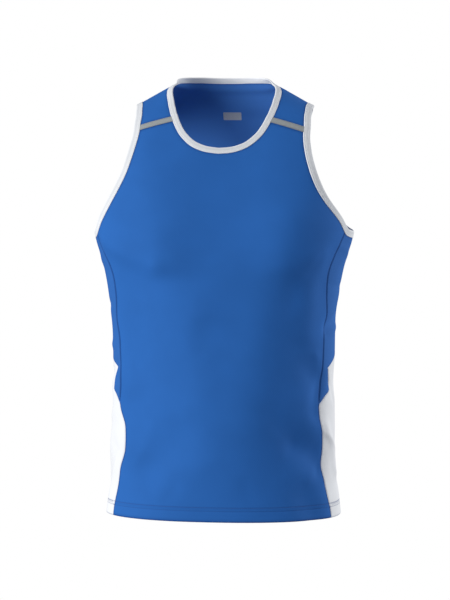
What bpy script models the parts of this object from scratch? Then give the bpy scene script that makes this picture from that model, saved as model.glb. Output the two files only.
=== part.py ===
"""A sleeveless running vest in the form it takes when it is worn, hollow and open at neck, armholes and hem.

Lengths are in metres and angles in degrees. The front faces -Y, +X is the wearer's left and +Z is up. The
origin is between the wearer's shoulders, level with the middle of the shoulder straps.

Every piece lies on one smooth figure. A place on the figure is a pair: around, the angle from the centre
front (0) by the wearer's left side (90) to the centre back (180), and height. A line is a list of such pairs.
"""

import bpy
import numpy as np
from mathutils import Vector
from mathutils.geometry import delaunay_2d_cdt

# The cloth.
WALL = 0.0015  # thickness of the knitted panels
SEAM_GAP = 0.0003  # clearance between neighbouring pieces
HEM = -0.6650  # height of the hem's edge
NECK_BINDING = 0.0092  # width of the rib that binds the neck
ARM_BINDING = 0.0105  # width of the rib that binds each armhole
BINDING_PROUD = 0.0005  # how far a binding stands out from the panels, outside and inside
STRIP_WIDTH = 0.0095  # reflective strip on the forward shoulder seam
STRIP_THICK = 0.0006

# Facets.
PANEL_FACET = 0.0175
RIM_FACET = 0.0098
CLEAR = 0.08  # a point nearer than this share of a facet to the end of a cut line is left out

# The figure: one row for each horizontal section, from below the hem to the nape. The columns are height,
# half width, depth of the front and of the back from the centre, the centre's place in Y, squareness.
SECTIONS = np.array((
    (-0.6900, 0.1890, 0.1250, 0.1170, 0.000, 2.30),
    (-0.6650, 0.1863, 0.1245, 0.1160, 0.000, 2.30),
    (-0.6370, 0.1835, 0.1235, 0.1145, 0.000, 2.30),
    (-0.6110, 0.1803, 0.1225, 0.1130, 0.000, 2.30),
    (-0.5600, 0.1781, 0.1210, 0.1110, 0.000, 2.30),
    (-0.4960, 0.1759, 0.1200, 0.1080, 0.000, 2.30),
    (-0.4500, 0.1754, 0.1190, 0.1060, 0.000, 2.30),
    (-0.3810, 0.1763, 0.1190, 0.1040, 0.000, 2.30),
    (-0.3300, 0.1812, 0.1190, 0.1050, 0.000, 2.30),
    (-0.3040, 0.1848, 0.1190, 0.1070, 0.000, 2.30),
    (-0.2780, 0.1899, 0.1190, 0.1090, 0.000, 2.30),
    (-0.2530, 0.1971, 0.1185, 0.1115, 0.000, 2.30),
    (-0.2270, 0.2046, 0.1170, 0.1140, 0.000, 2.30),
    (-0.2050, 0.2069, 0.1145, 0.1155, 0.000, 2.30),
    (-0.1800, 0.2062, 0.1110, 0.1160, 0.000, 2.30),
    (-0.1300, 0.2026, 0.0980, 0.1130, 0.000, 2.30),
    (-0.0910, 0.1988, 0.0850, 0.1070, 0.000, 2.30),
    (-0.0600, 0.1900, 0.0760, 0.0980, 0.002, 2.25),
    (-0.0400, 0.1751, 0.0690, 0.0910, 0.004, 2.20),
    (-0.0250, 0.1540, 0.0630, 0.0850, 0.006, 2.20),
    (-0.0120, 0.1310, 0.0580, 0.0780, 0.007, 2.20),
    (+0.0000, 0.1100, 0.0540, 0.0720, 0.008, 2.20),
    (+0.0106, 0.0910, 0.0510, 0.0660, 0.009, 2.20),
    (+0.0160, 0.0800, 0.0490, 0.0620, 0.009, 2.20),
    (+0.0250, 0.0728, 0.0460, 0.0560, 0.010, 2.20),
    (+0.0360, 0.0655, 0.0430, 0.0510, 0.010, 2.20),
    (+0.0500, 0.0575, 0.0390, 0.0460, 0.010, 2.20),
))

# How the cloth hangs out of true: height, how far it has turned round the figure towards the wearer's left,
# how far it has swayed in X, how much lower it hangs for each metre towards the wearer's left.
HANG = np.array((
    (-0.6650, 4.0, -0.0037, 0.000),
    (-0.5950, 3.8, -0.0043, 0.000),
    (-0.5600, 7.1, -0.0053, 0.000),
    (-0.5250, 5.0, -0.0036, 0.000),
    (-0.4900, 1.0, -0.0031, 0.000),
    (-0.4580, 4.1, -0.0050, 0.000),
    (-0.4100, 2.5, -0.0027, 0.000),
    (-0.3500, 2.5, -0.0030, 0.000),
    (-0.2200, 0.7, -0.0029, 0.002),
    (-0.1700, 0.6, -0.0065, 0.006),
    (-0.1200, 1.1, -0.0048, 0.014),
    (-0.0600, 1.2, -0.0015, 0.022),
    (+0.0130, 1.5, -0.0005, 0.022),
    (+0.0290, 0.7, -0.0058, 0.022),
))

# The neck opening's edge from the centre front to the centre back: around, height.
NECK_EDGE = np.array((
    (0.0, -0.0925),
    (4.6, -0.0909),
    (10.3, -0.0845),
    (16.1, -0.0691),
    (19.5, -0.0548),
    (23.0, -0.0406),
    (28.0, -0.0263),
    (35.7, -0.0120),
    (47.9, +0.0022),
    (65.0, +0.0150),
    (90.0, +0.0258),
    (106.0, +0.0302),
    (130.0, +0.0343),
    (152.0, +0.0361),
    (180.0, +0.0363),
))

# One armhole's edge, from the underarm up the front, over the shoulder and down the back: around, height.
ARM_EDGE = np.array((
    (90.0, -0.2180),
    (74.8, -0.2171),
    (68.3, -0.2102),
    (63.1, -0.1984),
    (58.4, -0.1867),
    (54.0, -0.1740),
    (50.4, -0.1600),
    (47.8, -0.1460),
    (45.7, -0.1310),
    (44.2, -0.1150),
    (43.1, -0.0980),
    (42.7, -0.0800),
    (44.0, -0.0640),
    (47.0, -0.0490),
    (52.0, -0.0365),
    (61.9, -0.0255),
    (75.0, -0.0200),
    (90.0, -0.0180),
    (104.0, -0.0182),
    (118.0, -0.0236),
    (130.0, -0.0345),
    (137.0, -0.0510),
    (140.3, -0.0720),
    (141.5, -0.0930),
    (140.0, -0.1170),
    (136.0, -0.1440),
    (130.0, -0.1700),
    (122.0, -0.1930),
    (112.0, -0.2085),
    (101.0, -0.2150),
))

# Where the front meets the side panel, from below the hem to above the underarm: height, around.
SIDE_SEAM = np.array((
    (-0.6900, 61.5),
    (-0.6600, 61.8),
    (-0.6260, 59.5),
    (-0.5920, 58.0),
    (-0.5590, 56.5),
    (-0.5250, 56.1),
    (-0.4920, 58.8),
    (-0.4580, 59.9),
    (-0.3920, 60.7),
    (-0.3580, 63.2),
    (-0.3250, 61.1),
    (-0.2910, 60.2),
    (-0.2580, 62.9),
    (-0.2240, 68.0),
    (-0.1900, 74.8),
))

# The forward shoulder seam, which the reflective strip covers: around, height, past both edges of the strap.
SHOULDER_SEAM = np.array((
    (14.0, -0.0378),
    (26.0, -0.0488),
    (40.0, -0.0617),
    (54.0, -0.0746),
))

# Where the side panel's upper and lower colours meet, from the front seam to the side: around, height.
COLOUR_SPLIT = np.array((
    (50.0, -0.4985),
    (59.1, -0.4893),
    (65.3, -0.4760),
    (71.0, -0.4690),
    (67.4, -0.4335),
    (76.5, -0.4248),
    (90.0, -0.4165),
))

# The largest folds, as soft ridges (+) and troughs (-): start around and height, end around and height,
# half width, rise.
FOLDS = np.array((
    # front
    (-26.0, -0.2400, -23.0, -0.2640, 0.0290, +0.0050),  # the right of the chest
    (-57.0, -0.2400, -30.0, -0.2740, 0.0185, +0.0045),
    (-36.0, -0.0870, -27.0, -0.1690, 0.0330, +0.0035),
    (9.0, -0.0940, 1.0, -0.2260, 0.0450, -0.0044),  # the hollow between
    (31.0, -0.2130, 31.5, -0.2690, 0.0345, +0.0085),  # the left of the chest
    (44.0, -0.1470, 44.0, -0.2390, 0.0430, +0.0055),
    (69.0, -0.2420, 55.0, -0.2970, 0.0360, -0.0032),  # sinks in below the left arm
    (47.0, -0.2700, 43.7, -0.4040, 0.0255, +0.0040),
    (42.0, -0.4050, 54.3, -0.4630, 0.0220, -0.0040),
    (59.0, -0.4560, 54.3, -0.5020, 0.0170, -0.0030),
    (23.5, -0.3520, 15.6, -0.5030, 0.0420, +0.0056),  # the left of the belly
    (-9.5, -0.3580, -8.4, -0.5710, 0.0330, +0.0036),
    (2.0, -0.4600, 6.4, -0.5900, 0.0400, +0.0034),
    (-44.0, -0.3200, -40.2, -0.5850, 0.0400, -0.0050),
    (-36.0, -0.5900, -24.0, -0.5360, 0.0240, -0.0027),  # drags up from the right hip
    (28.0, -0.5190, 49.0, -0.5520, 0.0215, -0.0034),  # drags towards the left hip
    (35.0, -0.5530, 53.5, -0.5810, 0.0200, -0.0069),
    (42.7, -0.6330, 46.3, -0.6550, 0.0230, -0.0047),
    # sides
    (62.0, -0.5300, 78.0, -0.5950, 0.013, +0.0030),
    (64.0, -0.3700, 92.0, -0.3450, 0.012, -0.0040),
    (-66.0, -0.4300, -94.0, -0.4550, 0.012, -0.0035),
    (-70.0, -0.5600, -88.0, -0.6500, 0.018, -0.0040),
    # back
    (158.0, -0.2000, 166.0, -0.3900, 0.028, -0.0075),
    (204.0, -0.2300, 197.0, -0.4700, 0.030, -0.0080),
    (181.0, -0.3300, 179.0, -0.5600, 0.024, +0.0050),
    (140.0, -0.3600, 150.0, -0.5200, 0.020, -0.0045),
    (219.0, -0.4300, 212.0, -0.6200, 0.022, +0.0045),
    (151.0, -0.5500, 143.0, -0.6500, 0.022, +0.0045),
))

# How the figure is laid out flat while a panel is divided into triangles.
FLAT_PER_DEGREE = 0.0029
SHOULDER_LEVEL = -0.0400
SHOULDER_STRETCH = 1.9  # a step in height is this much longer on the slope of the shoulders

# Finishes: colour (linear), roughness.
BLUE_MESH = ((0.030, 0.135, 0.410, 1.0), 0.75)
BLUE_SIDE = ((0.046, 0.140, 0.370, 1.0), 0.75)
WHITE_SIDE = ((0.800, 0.810, 0.820, 1.0), 0.75)
WHITE_RIB = ((0.830, 0.835, 0.840, 1.0), 0.85)
REFLECTIVE_GREY = ((0.260, 0.275, 0.290, 1.0), 0.40)


def through(knots, values, at):
    """A smooth curve through a table's rows that never overshoots them, read at the given places."""
    at = np.clip(at, knots[0], knots[-1])
    widths = np.diff(knots)
    rises = np.diff(values) / widths
    slopes = np.concatenate(([rises[0]], np.zeros(len(knots) - 2), [rises[-1]]))
    level = rises[:-1] * rises[1:] <= 0
    slopes[1:-1] = np.where(level, 0, 2 * rises[:-1] * rises[1:] / np.where(level, 1, rises[:-1] + rises[1:]))
    row = np.clip(np.searchsorted(knots, at) - 1, 0, len(knots) - 2)
    width = widths[row]
    part = (at - knots[row]) / width
    return (
        (1 + 2 * part) * (1 - part) ** 2 * values[row]
        + part * (1 - part) ** 2 * width * slopes[row]
        + part**2 * (3 - 2 * part) * values[row + 1]
        + part**2 * (part - 1) * width * slopes[row + 1]
    )


def figure(places):
    """Points of the smooth figure, the same on both sides, at the given places."""
    around, height = np.radians(places[:, 0]), places[:, 1]
    shape = (through(SECTIONS[:, 0], column, height) for column in SECTIONS.T[1:])
    half_width, front, back, centre, squareness = shape
    sine, cosine = np.sin(around), np.cos(around)
    reach = (abs(sine) ** squareness + abs(cosine) ** squareness) ** (1 / squareness)
    depth = np.where(cosine > 0, front, back)
    return np.column_stack((half_width * sine / reach, centre - depth * cosine / reach, height))


def tangents(places):
    """How a point of the figure moves for a degree around and for a metre up."""
    degree, metre = np.array((0.05, 0)), np.array((0, 0.0002))
    return (
        (figure(places + degree) - figure(places - degree)) / (2 * degree[0]),
        (figure(places + metre) - figure(places - metre)) / (2 * metre[1]),
    )


def normals(places):
    outward = np.cross(*tangents(places))
    return outward / np.linalg.norm(outward, axis=1, keepdims=True)


def fold_rise(places):
    """How far the folds lift or sink the cloth at each place."""
    rise = np.zeros(len(places))
    for start_around, start_height, end_around, end_height, half_width, depth in FOLDS:
        apart = (places[:, 0] - start_around + 180) % 360 - 180
        x, y = apart * FLAT_PER_DEGREE, places[:, 1] - start_height
        run_x, run_y = (end_around - start_around) * FLAT_PER_DEGREE, end_height - start_height
        along = np.clip((x * run_x + y * run_y) / (run_x**2 + run_y**2), 0, 1)
        beside = np.hypot(x - along * run_x, y - along * run_y)
        rise += depth * np.exp(-((beside / half_width) ** 2))
    return rise


def cloth(places, lift):
    """Points at a distance outside the inner face of the cloth as it hangs."""
    twist, sway, drop = (through(HANG[:, 0], column, places[:, 1]) for column in HANG.T[1:])
    turned = np.column_stack((places[:, 0] + twist, places[:, 1]))
    points = figure(turned) + normals(turned) * (fold_rise(places) + lift)[:, None]
    points[:, 2] -= drop * points[:, 0]
    points[:, 0] += sway
    return points


def walked(places, directions, distance, steps=4):
    """Places reached by walking on the figure from each place in its own direction."""
    for _ in range(steps):
        jacobian = np.stack(tangents(places), axis=2)
        places = places + (np.linalg.pinv(jacobian) @ directions[:, :, None])[:, :, 0] * distance / steps
    return places


def beside(line, distance, closed=False):
    """A line moved sideways on the figure, to its left as it is walked and seen from outside."""
    points = figure(line)
    if closed:
        ahead = np.roll(points, -1, axis=0) - np.roll(points, 1, axis=0)
    else:
        ahead = np.gradient(points, axis=0)
    left = np.cross(normals(line), ahead)
    return walked(line, left / np.linalg.norm(left, axis=1, keepdims=True), distance)


def evenly(line):
    """The line with its points a facet's length apart, ends included."""
    lengths = np.linalg.norm(np.diff(figure(line), axis=0), axis=1)
    run = np.concatenate(([0], np.cumsum(lengths)))
    at = np.linspace(0, run[-1], max(1, round(run[-1] / RIM_FACET)) + 1)
    return np.column_stack((np.interp(at, run, line[:, 0]), np.interp(at, run, line[:, 1])))


def crossing(line, other):
    """Where the line crosses the other: how far along the line, in points, and the place."""
    start, run = line[:-1, None], np.diff(line, axis=0)[:, None]
    other_start, other_run = other[None, :-1], np.diff(other, axis=0)[None]
    gap = other_start - start
    area = run[..., 0] * other_run[..., 1] - run[..., 1] * other_run[..., 0]
    area = np.where(area == 0, 1e-30, area)
    along = (gap[..., 0] * other_run[..., 1] - gap[..., 1] * other_run[..., 0]) / area
    across = (gap[..., 0] * run[..., 1] - gap[..., 1] * run[..., 0]) / area
    leg, other_leg = np.argwhere((along >= 0) & (along < 1) & (across >= 0) & (across <= 1))[0]
    return leg + along[leg, other_leg], line[leg] + along[leg, other_leg] * (line[leg + 1] - line[leg])


def between(line, first=None, last=None):
    """The stretch of a line from where the first other line crosses it to where the last one does."""
    start, start_place = crossing(line, first) if first is not None else (-1, line[:0])
    end, end_place = crossing(line, last) if last is not None else (len(line), line[:0])
    inner = line[int(np.ceil(start + CLEAR)) : int(np.floor(end - CLEAR)) + 1]
    return np.vstack((start_place, inner, end_place))


def mirrored(line, about):
    """The line walked the other way on the other side of the body, mirrored about 0, 90 or 180 degrees."""
    return line[::-1] * (-1, 1) + (2 * about, 0)


def joined(*legs):
    """An outline from its legs, with a single point where two legs meet."""
    return np.vstack([leg[:-1] for leg in legs])


def doubled(half, about):
    """A whole outline from one half of it, which starts and ends on the body's middle plane."""
    return np.vstack((half, mirrored(half, about)[1:-1]))


def rounded(knots):
    """A smooth closed line through a table's rows, its first point repeated at its end."""
    part = np.arange(0, 1, 1 / 16)[:, None]
    before, after, beyond = (np.roll(knots, step, axis=0) for step in (1, -1, -2))
    legs = [
        b
        + part * (c - a) / 2
        + part**2 * (2 * a - 5 * b + 4 * c - d) / 2
        + part**3 * (3 * b - a - 3 * c + d) / 2
        for a, b, c, d in zip(before, knots, after, beyond)
    ]
    return np.vstack((*legs, knots[:1]))


def divided(knots):
    """A line of straight legs through a table's rows, each leg divided evenly."""
    legs = [evenly(np.linspace(start, end, 20)) for start, end in zip(knots, knots[1:])]
    return np.vstack((*(leg[:-1] for leg in legs), knots[-1:]))


class Lines:
    """The seams and edges that the pieces end on, on the wearer's left.

    Edges are walked with the cloth on their left, seen from outside: the neck from the centre back to the
    centre front, and the armhole from the underarm up its front and down its back.
    """

    def __init__(self):
        around = np.arange(180.0, -0.5, -1.0)
        self.neck = evenly(np.column_stack((around, through(NECK_EDGE[:, 0], NECK_EDGE[:, 1], around))))
        self.neck_cut = beside(self.neck, NECK_BINDING + SEAM_GAP)
        self.neck_cut[[0, -1], 0] = 180.0, 0.0
        self.arm = evenly(rounded(ARM_EDGE))
        arm_cut = beside(self.arm[:-1], ARM_BINDING + SEAM_GAP, closed=True)
        self.arm_cut = np.vstack((arm_cut, arm_cut[:1]))

        height = np.arange(SIDE_SEAM[0, 0], SIDE_SEAM[-1, 0], RIM_FACET / 4)
        seam = evenly(np.column_stack((through(SIDE_SEAM[:, 0], SIDE_SEAM[:, 1], height), height)))
        self.front_seam, self.side_front = self.pair(seam)
        self.side_back, self.back_seam = self.pair(seam * (-1, 1) + (180, 0))

        shoulder = divided(SHOULDER_SEAM)
        self.yoke_end, self.front_top = self.pair(shoulder)
        self.strip_top = beside(shoulder, STRIP_WIDTH / 2)
        self.strip_bottom = beside(shoulder, -STRIP_WIDTH / 2)

        split = divided(np.vstack((COLOUR_SPLIT, mirrored(COLOUR_SPLIT[:-1], 90))))
        self.upper_end, self.lower_end = self.pair(split)
        around = np.arange(0.0, 181.0, 1.0)
        self.hem = evenly(np.column_stack((around, np.full(len(around), HEM))))

    @staticmethod
    def pair(seam):
        """The two lines that the pieces on a seam's left and on its right end on."""
        return beside(seam, SEAM_GAP / 2), beside(seam, -SEAM_GAP / 2)

    def front(self):
        half = joined(
            between(self.hem, last=self.front_seam),
            between(self.front_seam, self.hem, self.arm_cut),
            between(self.arm_cut, self.front_seam, self.front_top),
            between(self.front_top[::-1], self.arm_cut, self.neck_cut),
            between(self.neck_cut, self.front_top),
        )
        return doubled(np.vstack((half, self.neck_cut[-1:])), 0)

    def back(self):
        half = joined(
            between(self.neck_cut, last=self.yoke_end),
            between(self.yoke_end, self.neck_cut, self.arm_cut),
            between(self.arm_cut, self.yoke_end, self.back_seam),
            between(self.back_seam[::-1], self.arm_cut, self.hem),
            between(self.hem, self.back_seam),
        )
        return doubled(np.vstack((half, self.hem[-1:])), 180)

    def side_upper(self):
        underarm = (between(self.arm_cut, self.side_back), between(self.arm_cut, last=self.side_front)[1:])
        return joined(
            np.vstack(underarm),
            between(self.side_front[::-1], self.arm_cut, self.upper_end),
            between(self.upper_end, self.side_front, self.side_back),
            between(self.side_back, self.upper_end, self.arm_cut),
        )

    def side_lower(self):
        return joined(
            between(self.lower_end[::-1], self.side_back, self.side_front),
            between(self.side_front[::-1], self.lower_end, self.hem),
            between(self.hem, self.side_front, self.side_back),
            between(self.side_back, self.hem, self.lower_end),
        )

    def strip(self):
        return joined(
            between(self.strip_top, self.neck_cut, self.arm_cut),
            between(self.arm_cut, self.strip_bottom, self.strip_top)[::-1],
            between(self.strip_bottom[::-1], self.arm_cut, self.neck_cut),
            between(self.neck_cut, self.strip_top, self.strip_bottom)[::-1],
        )


def finish(name, colour, roughness):
    material = bpy.data.materials.new(name)
    material.use_nodes = True
    shader = material.node_tree.nodes["Principled BSDF"]
    shader.inputs["Base Color"].default_value = colour
    shader.inputs["Roughness"].default_value = roughness
    shader.inputs["Metallic"].default_value = 0.0
    material.diffuse_color = colour
    return material


def placed(name, points, faces, material):
    """An object of the given points and faces."""
    mesh = bpy.data.meshes.new(name)
    mesh.from_pydata([tuple(map(float, point)) for point in points], [], faces)
    mesh.materials.append(material)
    mesh.shade_smooth()
    mesh.set_sharp_from_angle(angle=np.radians(50))
    thing = bpy.data.objects.new(name, mesh)
    bpy.context.scene.collection.objects.link(thing)
    return thing


def flat(places):
    """Places laid out flat."""
    above = np.maximum(places[:, 1] - SHOULDER_LEVEL, 0)
    return np.column_stack((places[:, 0] * FLAT_PER_DEGREE, places[:, 1] + above * (SHOULDER_STRETCH - 1)))


def unflat(spots):
    """The places of spots that are laid out flat."""
    above = np.maximum(spots[:, 1] - SHOULDER_LEVEL, 0)
    return np.column_stack((spots[:, 0] / FLAT_PER_DEGREE, spots[:, 1] - above * (1 - 1 / SHOULDER_STRETCH)))


def inside(spots, outline, margin):
    """Which spots lie inside an outline, further than a margin from it."""
    start, end = outline, np.roll(outline, -1, axis=0)
    run = end - start
    apart = spots[:, None] - start
    along = np.clip((apart * run).sum(2) / (run**2).sum(1), 0, 1)
    clear = np.linalg.norm(apart - along[..., None] * run, axis=2).min(1) > margin
    rising = (start[:, 1] > spots[:, None, 1]) != (end[:, 1] > spots[:, None, 1])
    height = np.where(run[:, 1] == 0, 1, run[:, 1])
    at = start[:, 0] + (spots[:, None, 1] - start[:, 1]) * run[:, 0] / height
    return clear & ((rising & (spots[:, None, 0] < at)).sum(1) % 2 == 1)


def panel(name, outline, material, lift=0.0, thickness=WALL, spacing=PANEL_FACET):
    """A cut piece of cloth: a wall between the figure's surface and one moved out from it."""
    rim = flat(outline)
    low, high = rim.min(0), rim.max(0)
    row_height = spacing * np.sqrt(3) / 2
    middle = (low + high) / 2
    rows = np.arange(-np.ceil((middle - low)[1] / row_height), np.ceil((high - middle)[1] / row_height) + 1)
    columns = np.arange(-np.ceil((middle - low)[0] / spacing) - 1, np.ceil((high - middle)[0] / spacing) + 1)
    grid = np.array([
        (middle[0] + (column + 0.5 * (row % 2)) * spacing, middle[1] + row * row_height)
        for row in rows
        for column in columns
    ])
    spots = np.vstack((rim, grid[inside(grid, rim, spacing * 0.55)]))
    edges = [(index, (index + 1) % len(rim)) for index in range(len(rim))]
    made, _, faces, _, _, _ = delaunay_2d_cdt([Vector(spot) for spot in spots], edges, [], 1, 1e-9)
    if len(made) != len(spots):
        raise ValueError(f"the outline of {name} crosses itself")
    places = unflat(spots)
    points = np.vstack((cloth(places, lift + thickness), cloth(places, lift)))
    under = len(spots)
    outer = [tuple(face) for face in faces]
    inner = [tuple(index + under for index in reversed(face)) for face in outer]
    walked_way = {(face[i], face[(i + 1) % 3]) for face in outer for i in range(3)}
    along = [(a, b) if (a, b) in walked_way else (b, a) for a, b in edges]
    rims = [(b, a, a + under, b + under) for a, b in along]
    return placed(name, points, outer + inner + rims, material)


def binding(name, edge, width, material):
    """A rib folded over a cut edge: a closed band with rounded sides, swept round the opening."""
    low, high, soft = -BINDING_PROUD, WALL + BINDING_PROUD, 0.0007
    profile = (
        (0.0, (low + high) / 2),
        (soft, high),
        (width - soft, high),
        (width, WALL),
        (width, 0.0),
        (width - soft, low),
        (soft, low),
    )
    loop = edge[:-1]
    points = np.vstack([cloth(beside(loop, across, closed=True), lift) for across, lift in profile])
    count, sides = len(loop), len(profile)
    faces = []
    for side in range(sides):
        ring, next_ring = side * count, (side + 1) % sides * count
        for step in range(count):
            after = (step + 1) % count
            faces.append((ring + step, ring + after, next_ring + after, next_ring + step))
    return placed(name, points, faces, material)


def main():
    for thing in list(bpy.data.objects):
        bpy.data.objects.remove(thing)
    blue_mesh = finish("blue_mesh", *BLUE_MESH)
    blue_side = finish("blue_side", *BLUE_SIDE)
    white_side = finish("white_side", *WHITE_SIDE)
    white_rib = finish("white_rib", *WHITE_RIB)
    grey = finish("reflective_grey", *REFLECTIVE_GREY)

    lines = Lines()
    panel("front_panel", lines.front(), blue_mesh)
    panel("back_panel", lines.back(), blue_mesh)
    neck = np.vstack((lines.neck[:-1], mirrored(lines.neck, 0)))
    binding("neck_binding", neck, NECK_BINDING, white_rib)
    for side, flip in (("left", (1, 1)), ("right", (-1, 1))):
        panel(f"side_upper_{side}", lines.side_upper() * flip, blue_side)
        panel(f"side_lower_{side}", lines.side_lower() * flip, white_side)
        arm = lines.arm if side == "left" else lines.arm[::-1] * flip
        binding(f"armhole_binding_{side}", arm, ARM_BINDING, white_rib)
        panel(f"shoulder_strip_{side}", lines.strip() * flip, grey, WALL + SEAM_GAP, STRIP_THICK)


if __name__ == "__main__":
    main()
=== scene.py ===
"""The looks of a sleeveless running vest in worn form: its knitted panels, rib bindings, seams and stitching.

Lengths are in metres and angles in degrees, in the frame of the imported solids: the front faces -Y, +X is the
wearer's left, +Z is up and the origin is between the wearer's shoulders.

A place on the cloth is a pair: around, the angle from the centre front (0) by the wearer's left side (90) to
the centre back (180), and height. A line is an array of places. A lift is a distance outside the figure's
surface.
"""

import logging
from dataclasses import dataclass, field
from enum import Enum

import bpy
import numpy as np
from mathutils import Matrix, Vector
from mathutils.geometry import delaunay_2d_cdt
from mathutils.kdtree import KDTree


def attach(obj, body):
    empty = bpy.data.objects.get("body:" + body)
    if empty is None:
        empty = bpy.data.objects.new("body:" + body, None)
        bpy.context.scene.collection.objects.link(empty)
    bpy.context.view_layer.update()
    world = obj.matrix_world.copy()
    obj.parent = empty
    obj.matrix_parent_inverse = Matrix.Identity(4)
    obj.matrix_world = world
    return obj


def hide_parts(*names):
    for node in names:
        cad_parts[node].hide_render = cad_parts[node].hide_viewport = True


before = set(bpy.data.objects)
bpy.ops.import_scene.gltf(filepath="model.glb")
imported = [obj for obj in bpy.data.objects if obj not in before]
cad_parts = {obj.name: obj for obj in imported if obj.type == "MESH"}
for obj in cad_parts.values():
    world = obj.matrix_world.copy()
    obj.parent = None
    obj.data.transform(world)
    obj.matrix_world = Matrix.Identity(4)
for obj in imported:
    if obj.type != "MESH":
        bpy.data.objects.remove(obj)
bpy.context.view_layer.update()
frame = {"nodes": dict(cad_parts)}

Array = np.ndarray
log = logging.getLogger("vest")


@dataclass(frozen=True)
class Cut:
    """The sizes that the vest is cut and sewn to.

    The wall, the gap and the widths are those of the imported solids. The cloth itself is thinner than their
    wall and keeps its outer face.
    """

    wall: float = 0.0015  # outer face of the panels above the figure
    cloth: float = 0.0009  # thickness of one layer of knit
    seam_gap: float = 0.0003
    hem: float = -0.6650  # height of the hem's edge
    hem_depth: float = 0.0245  # how far the hem is turned up inside
    needle_rows: tuple[float, float] = (0.0168, 0.0221)  # twin needle rows above the hem's edge
    neck_binding: float = 0.0092
    arm_binding: float = 0.0105
    overlap: float = 0.0009  # how far a binding reaches over the panels' edges
    strip_width: float = 0.0095
    strip_thick: float = 0.0006


CUT = Cut()


def through(knots: Array, values: Array, at: Array) -> Array:
    """A smooth curve through a table's rows that never overshoots them.

    Args:
        knots: the rows' places, rising.
        values: the rows' values.
        at: where the curve is read.

    Returns:
        The curve's values there.
    """
    at = np.clip(at, knots[0], knots[-1])
    widths = np.diff(knots)
    rises = np.diff(values) / widths
    slopes = np.concatenate(([rises[0]], np.zeros(len(knots) - 2), [rises[-1]]))
    level = rises[:-1] * rises[1:] <= 0
    slopes[1:-1] = np.where(level, 0, 2 * rises[:-1] * rises[1:] / np.where(level, 1, rises[:-1] + rises[1:]))
    row = np.clip(np.searchsorted(knots, at) - 1, 0, len(knots) - 2)
    width = widths[row]
    part = (at - knots[row]) / width
    return (
        (1 + 2 * part) * (1 - part) ** 2 * values[row]
        + part * (1 - part) ** 2 * width * slopes[row]
        + part**2 * (3 - 2 * part) * values[row + 1]
        + part**2 * (part - 1) * width * slopes[row + 1]
    )


def bell(distance: Array, half_width: float) -> Array:
    """A soft bump of height 1 that has fallen to a third at the half width."""
    return np.exp(-((distance / half_width) ** 2))


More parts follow.
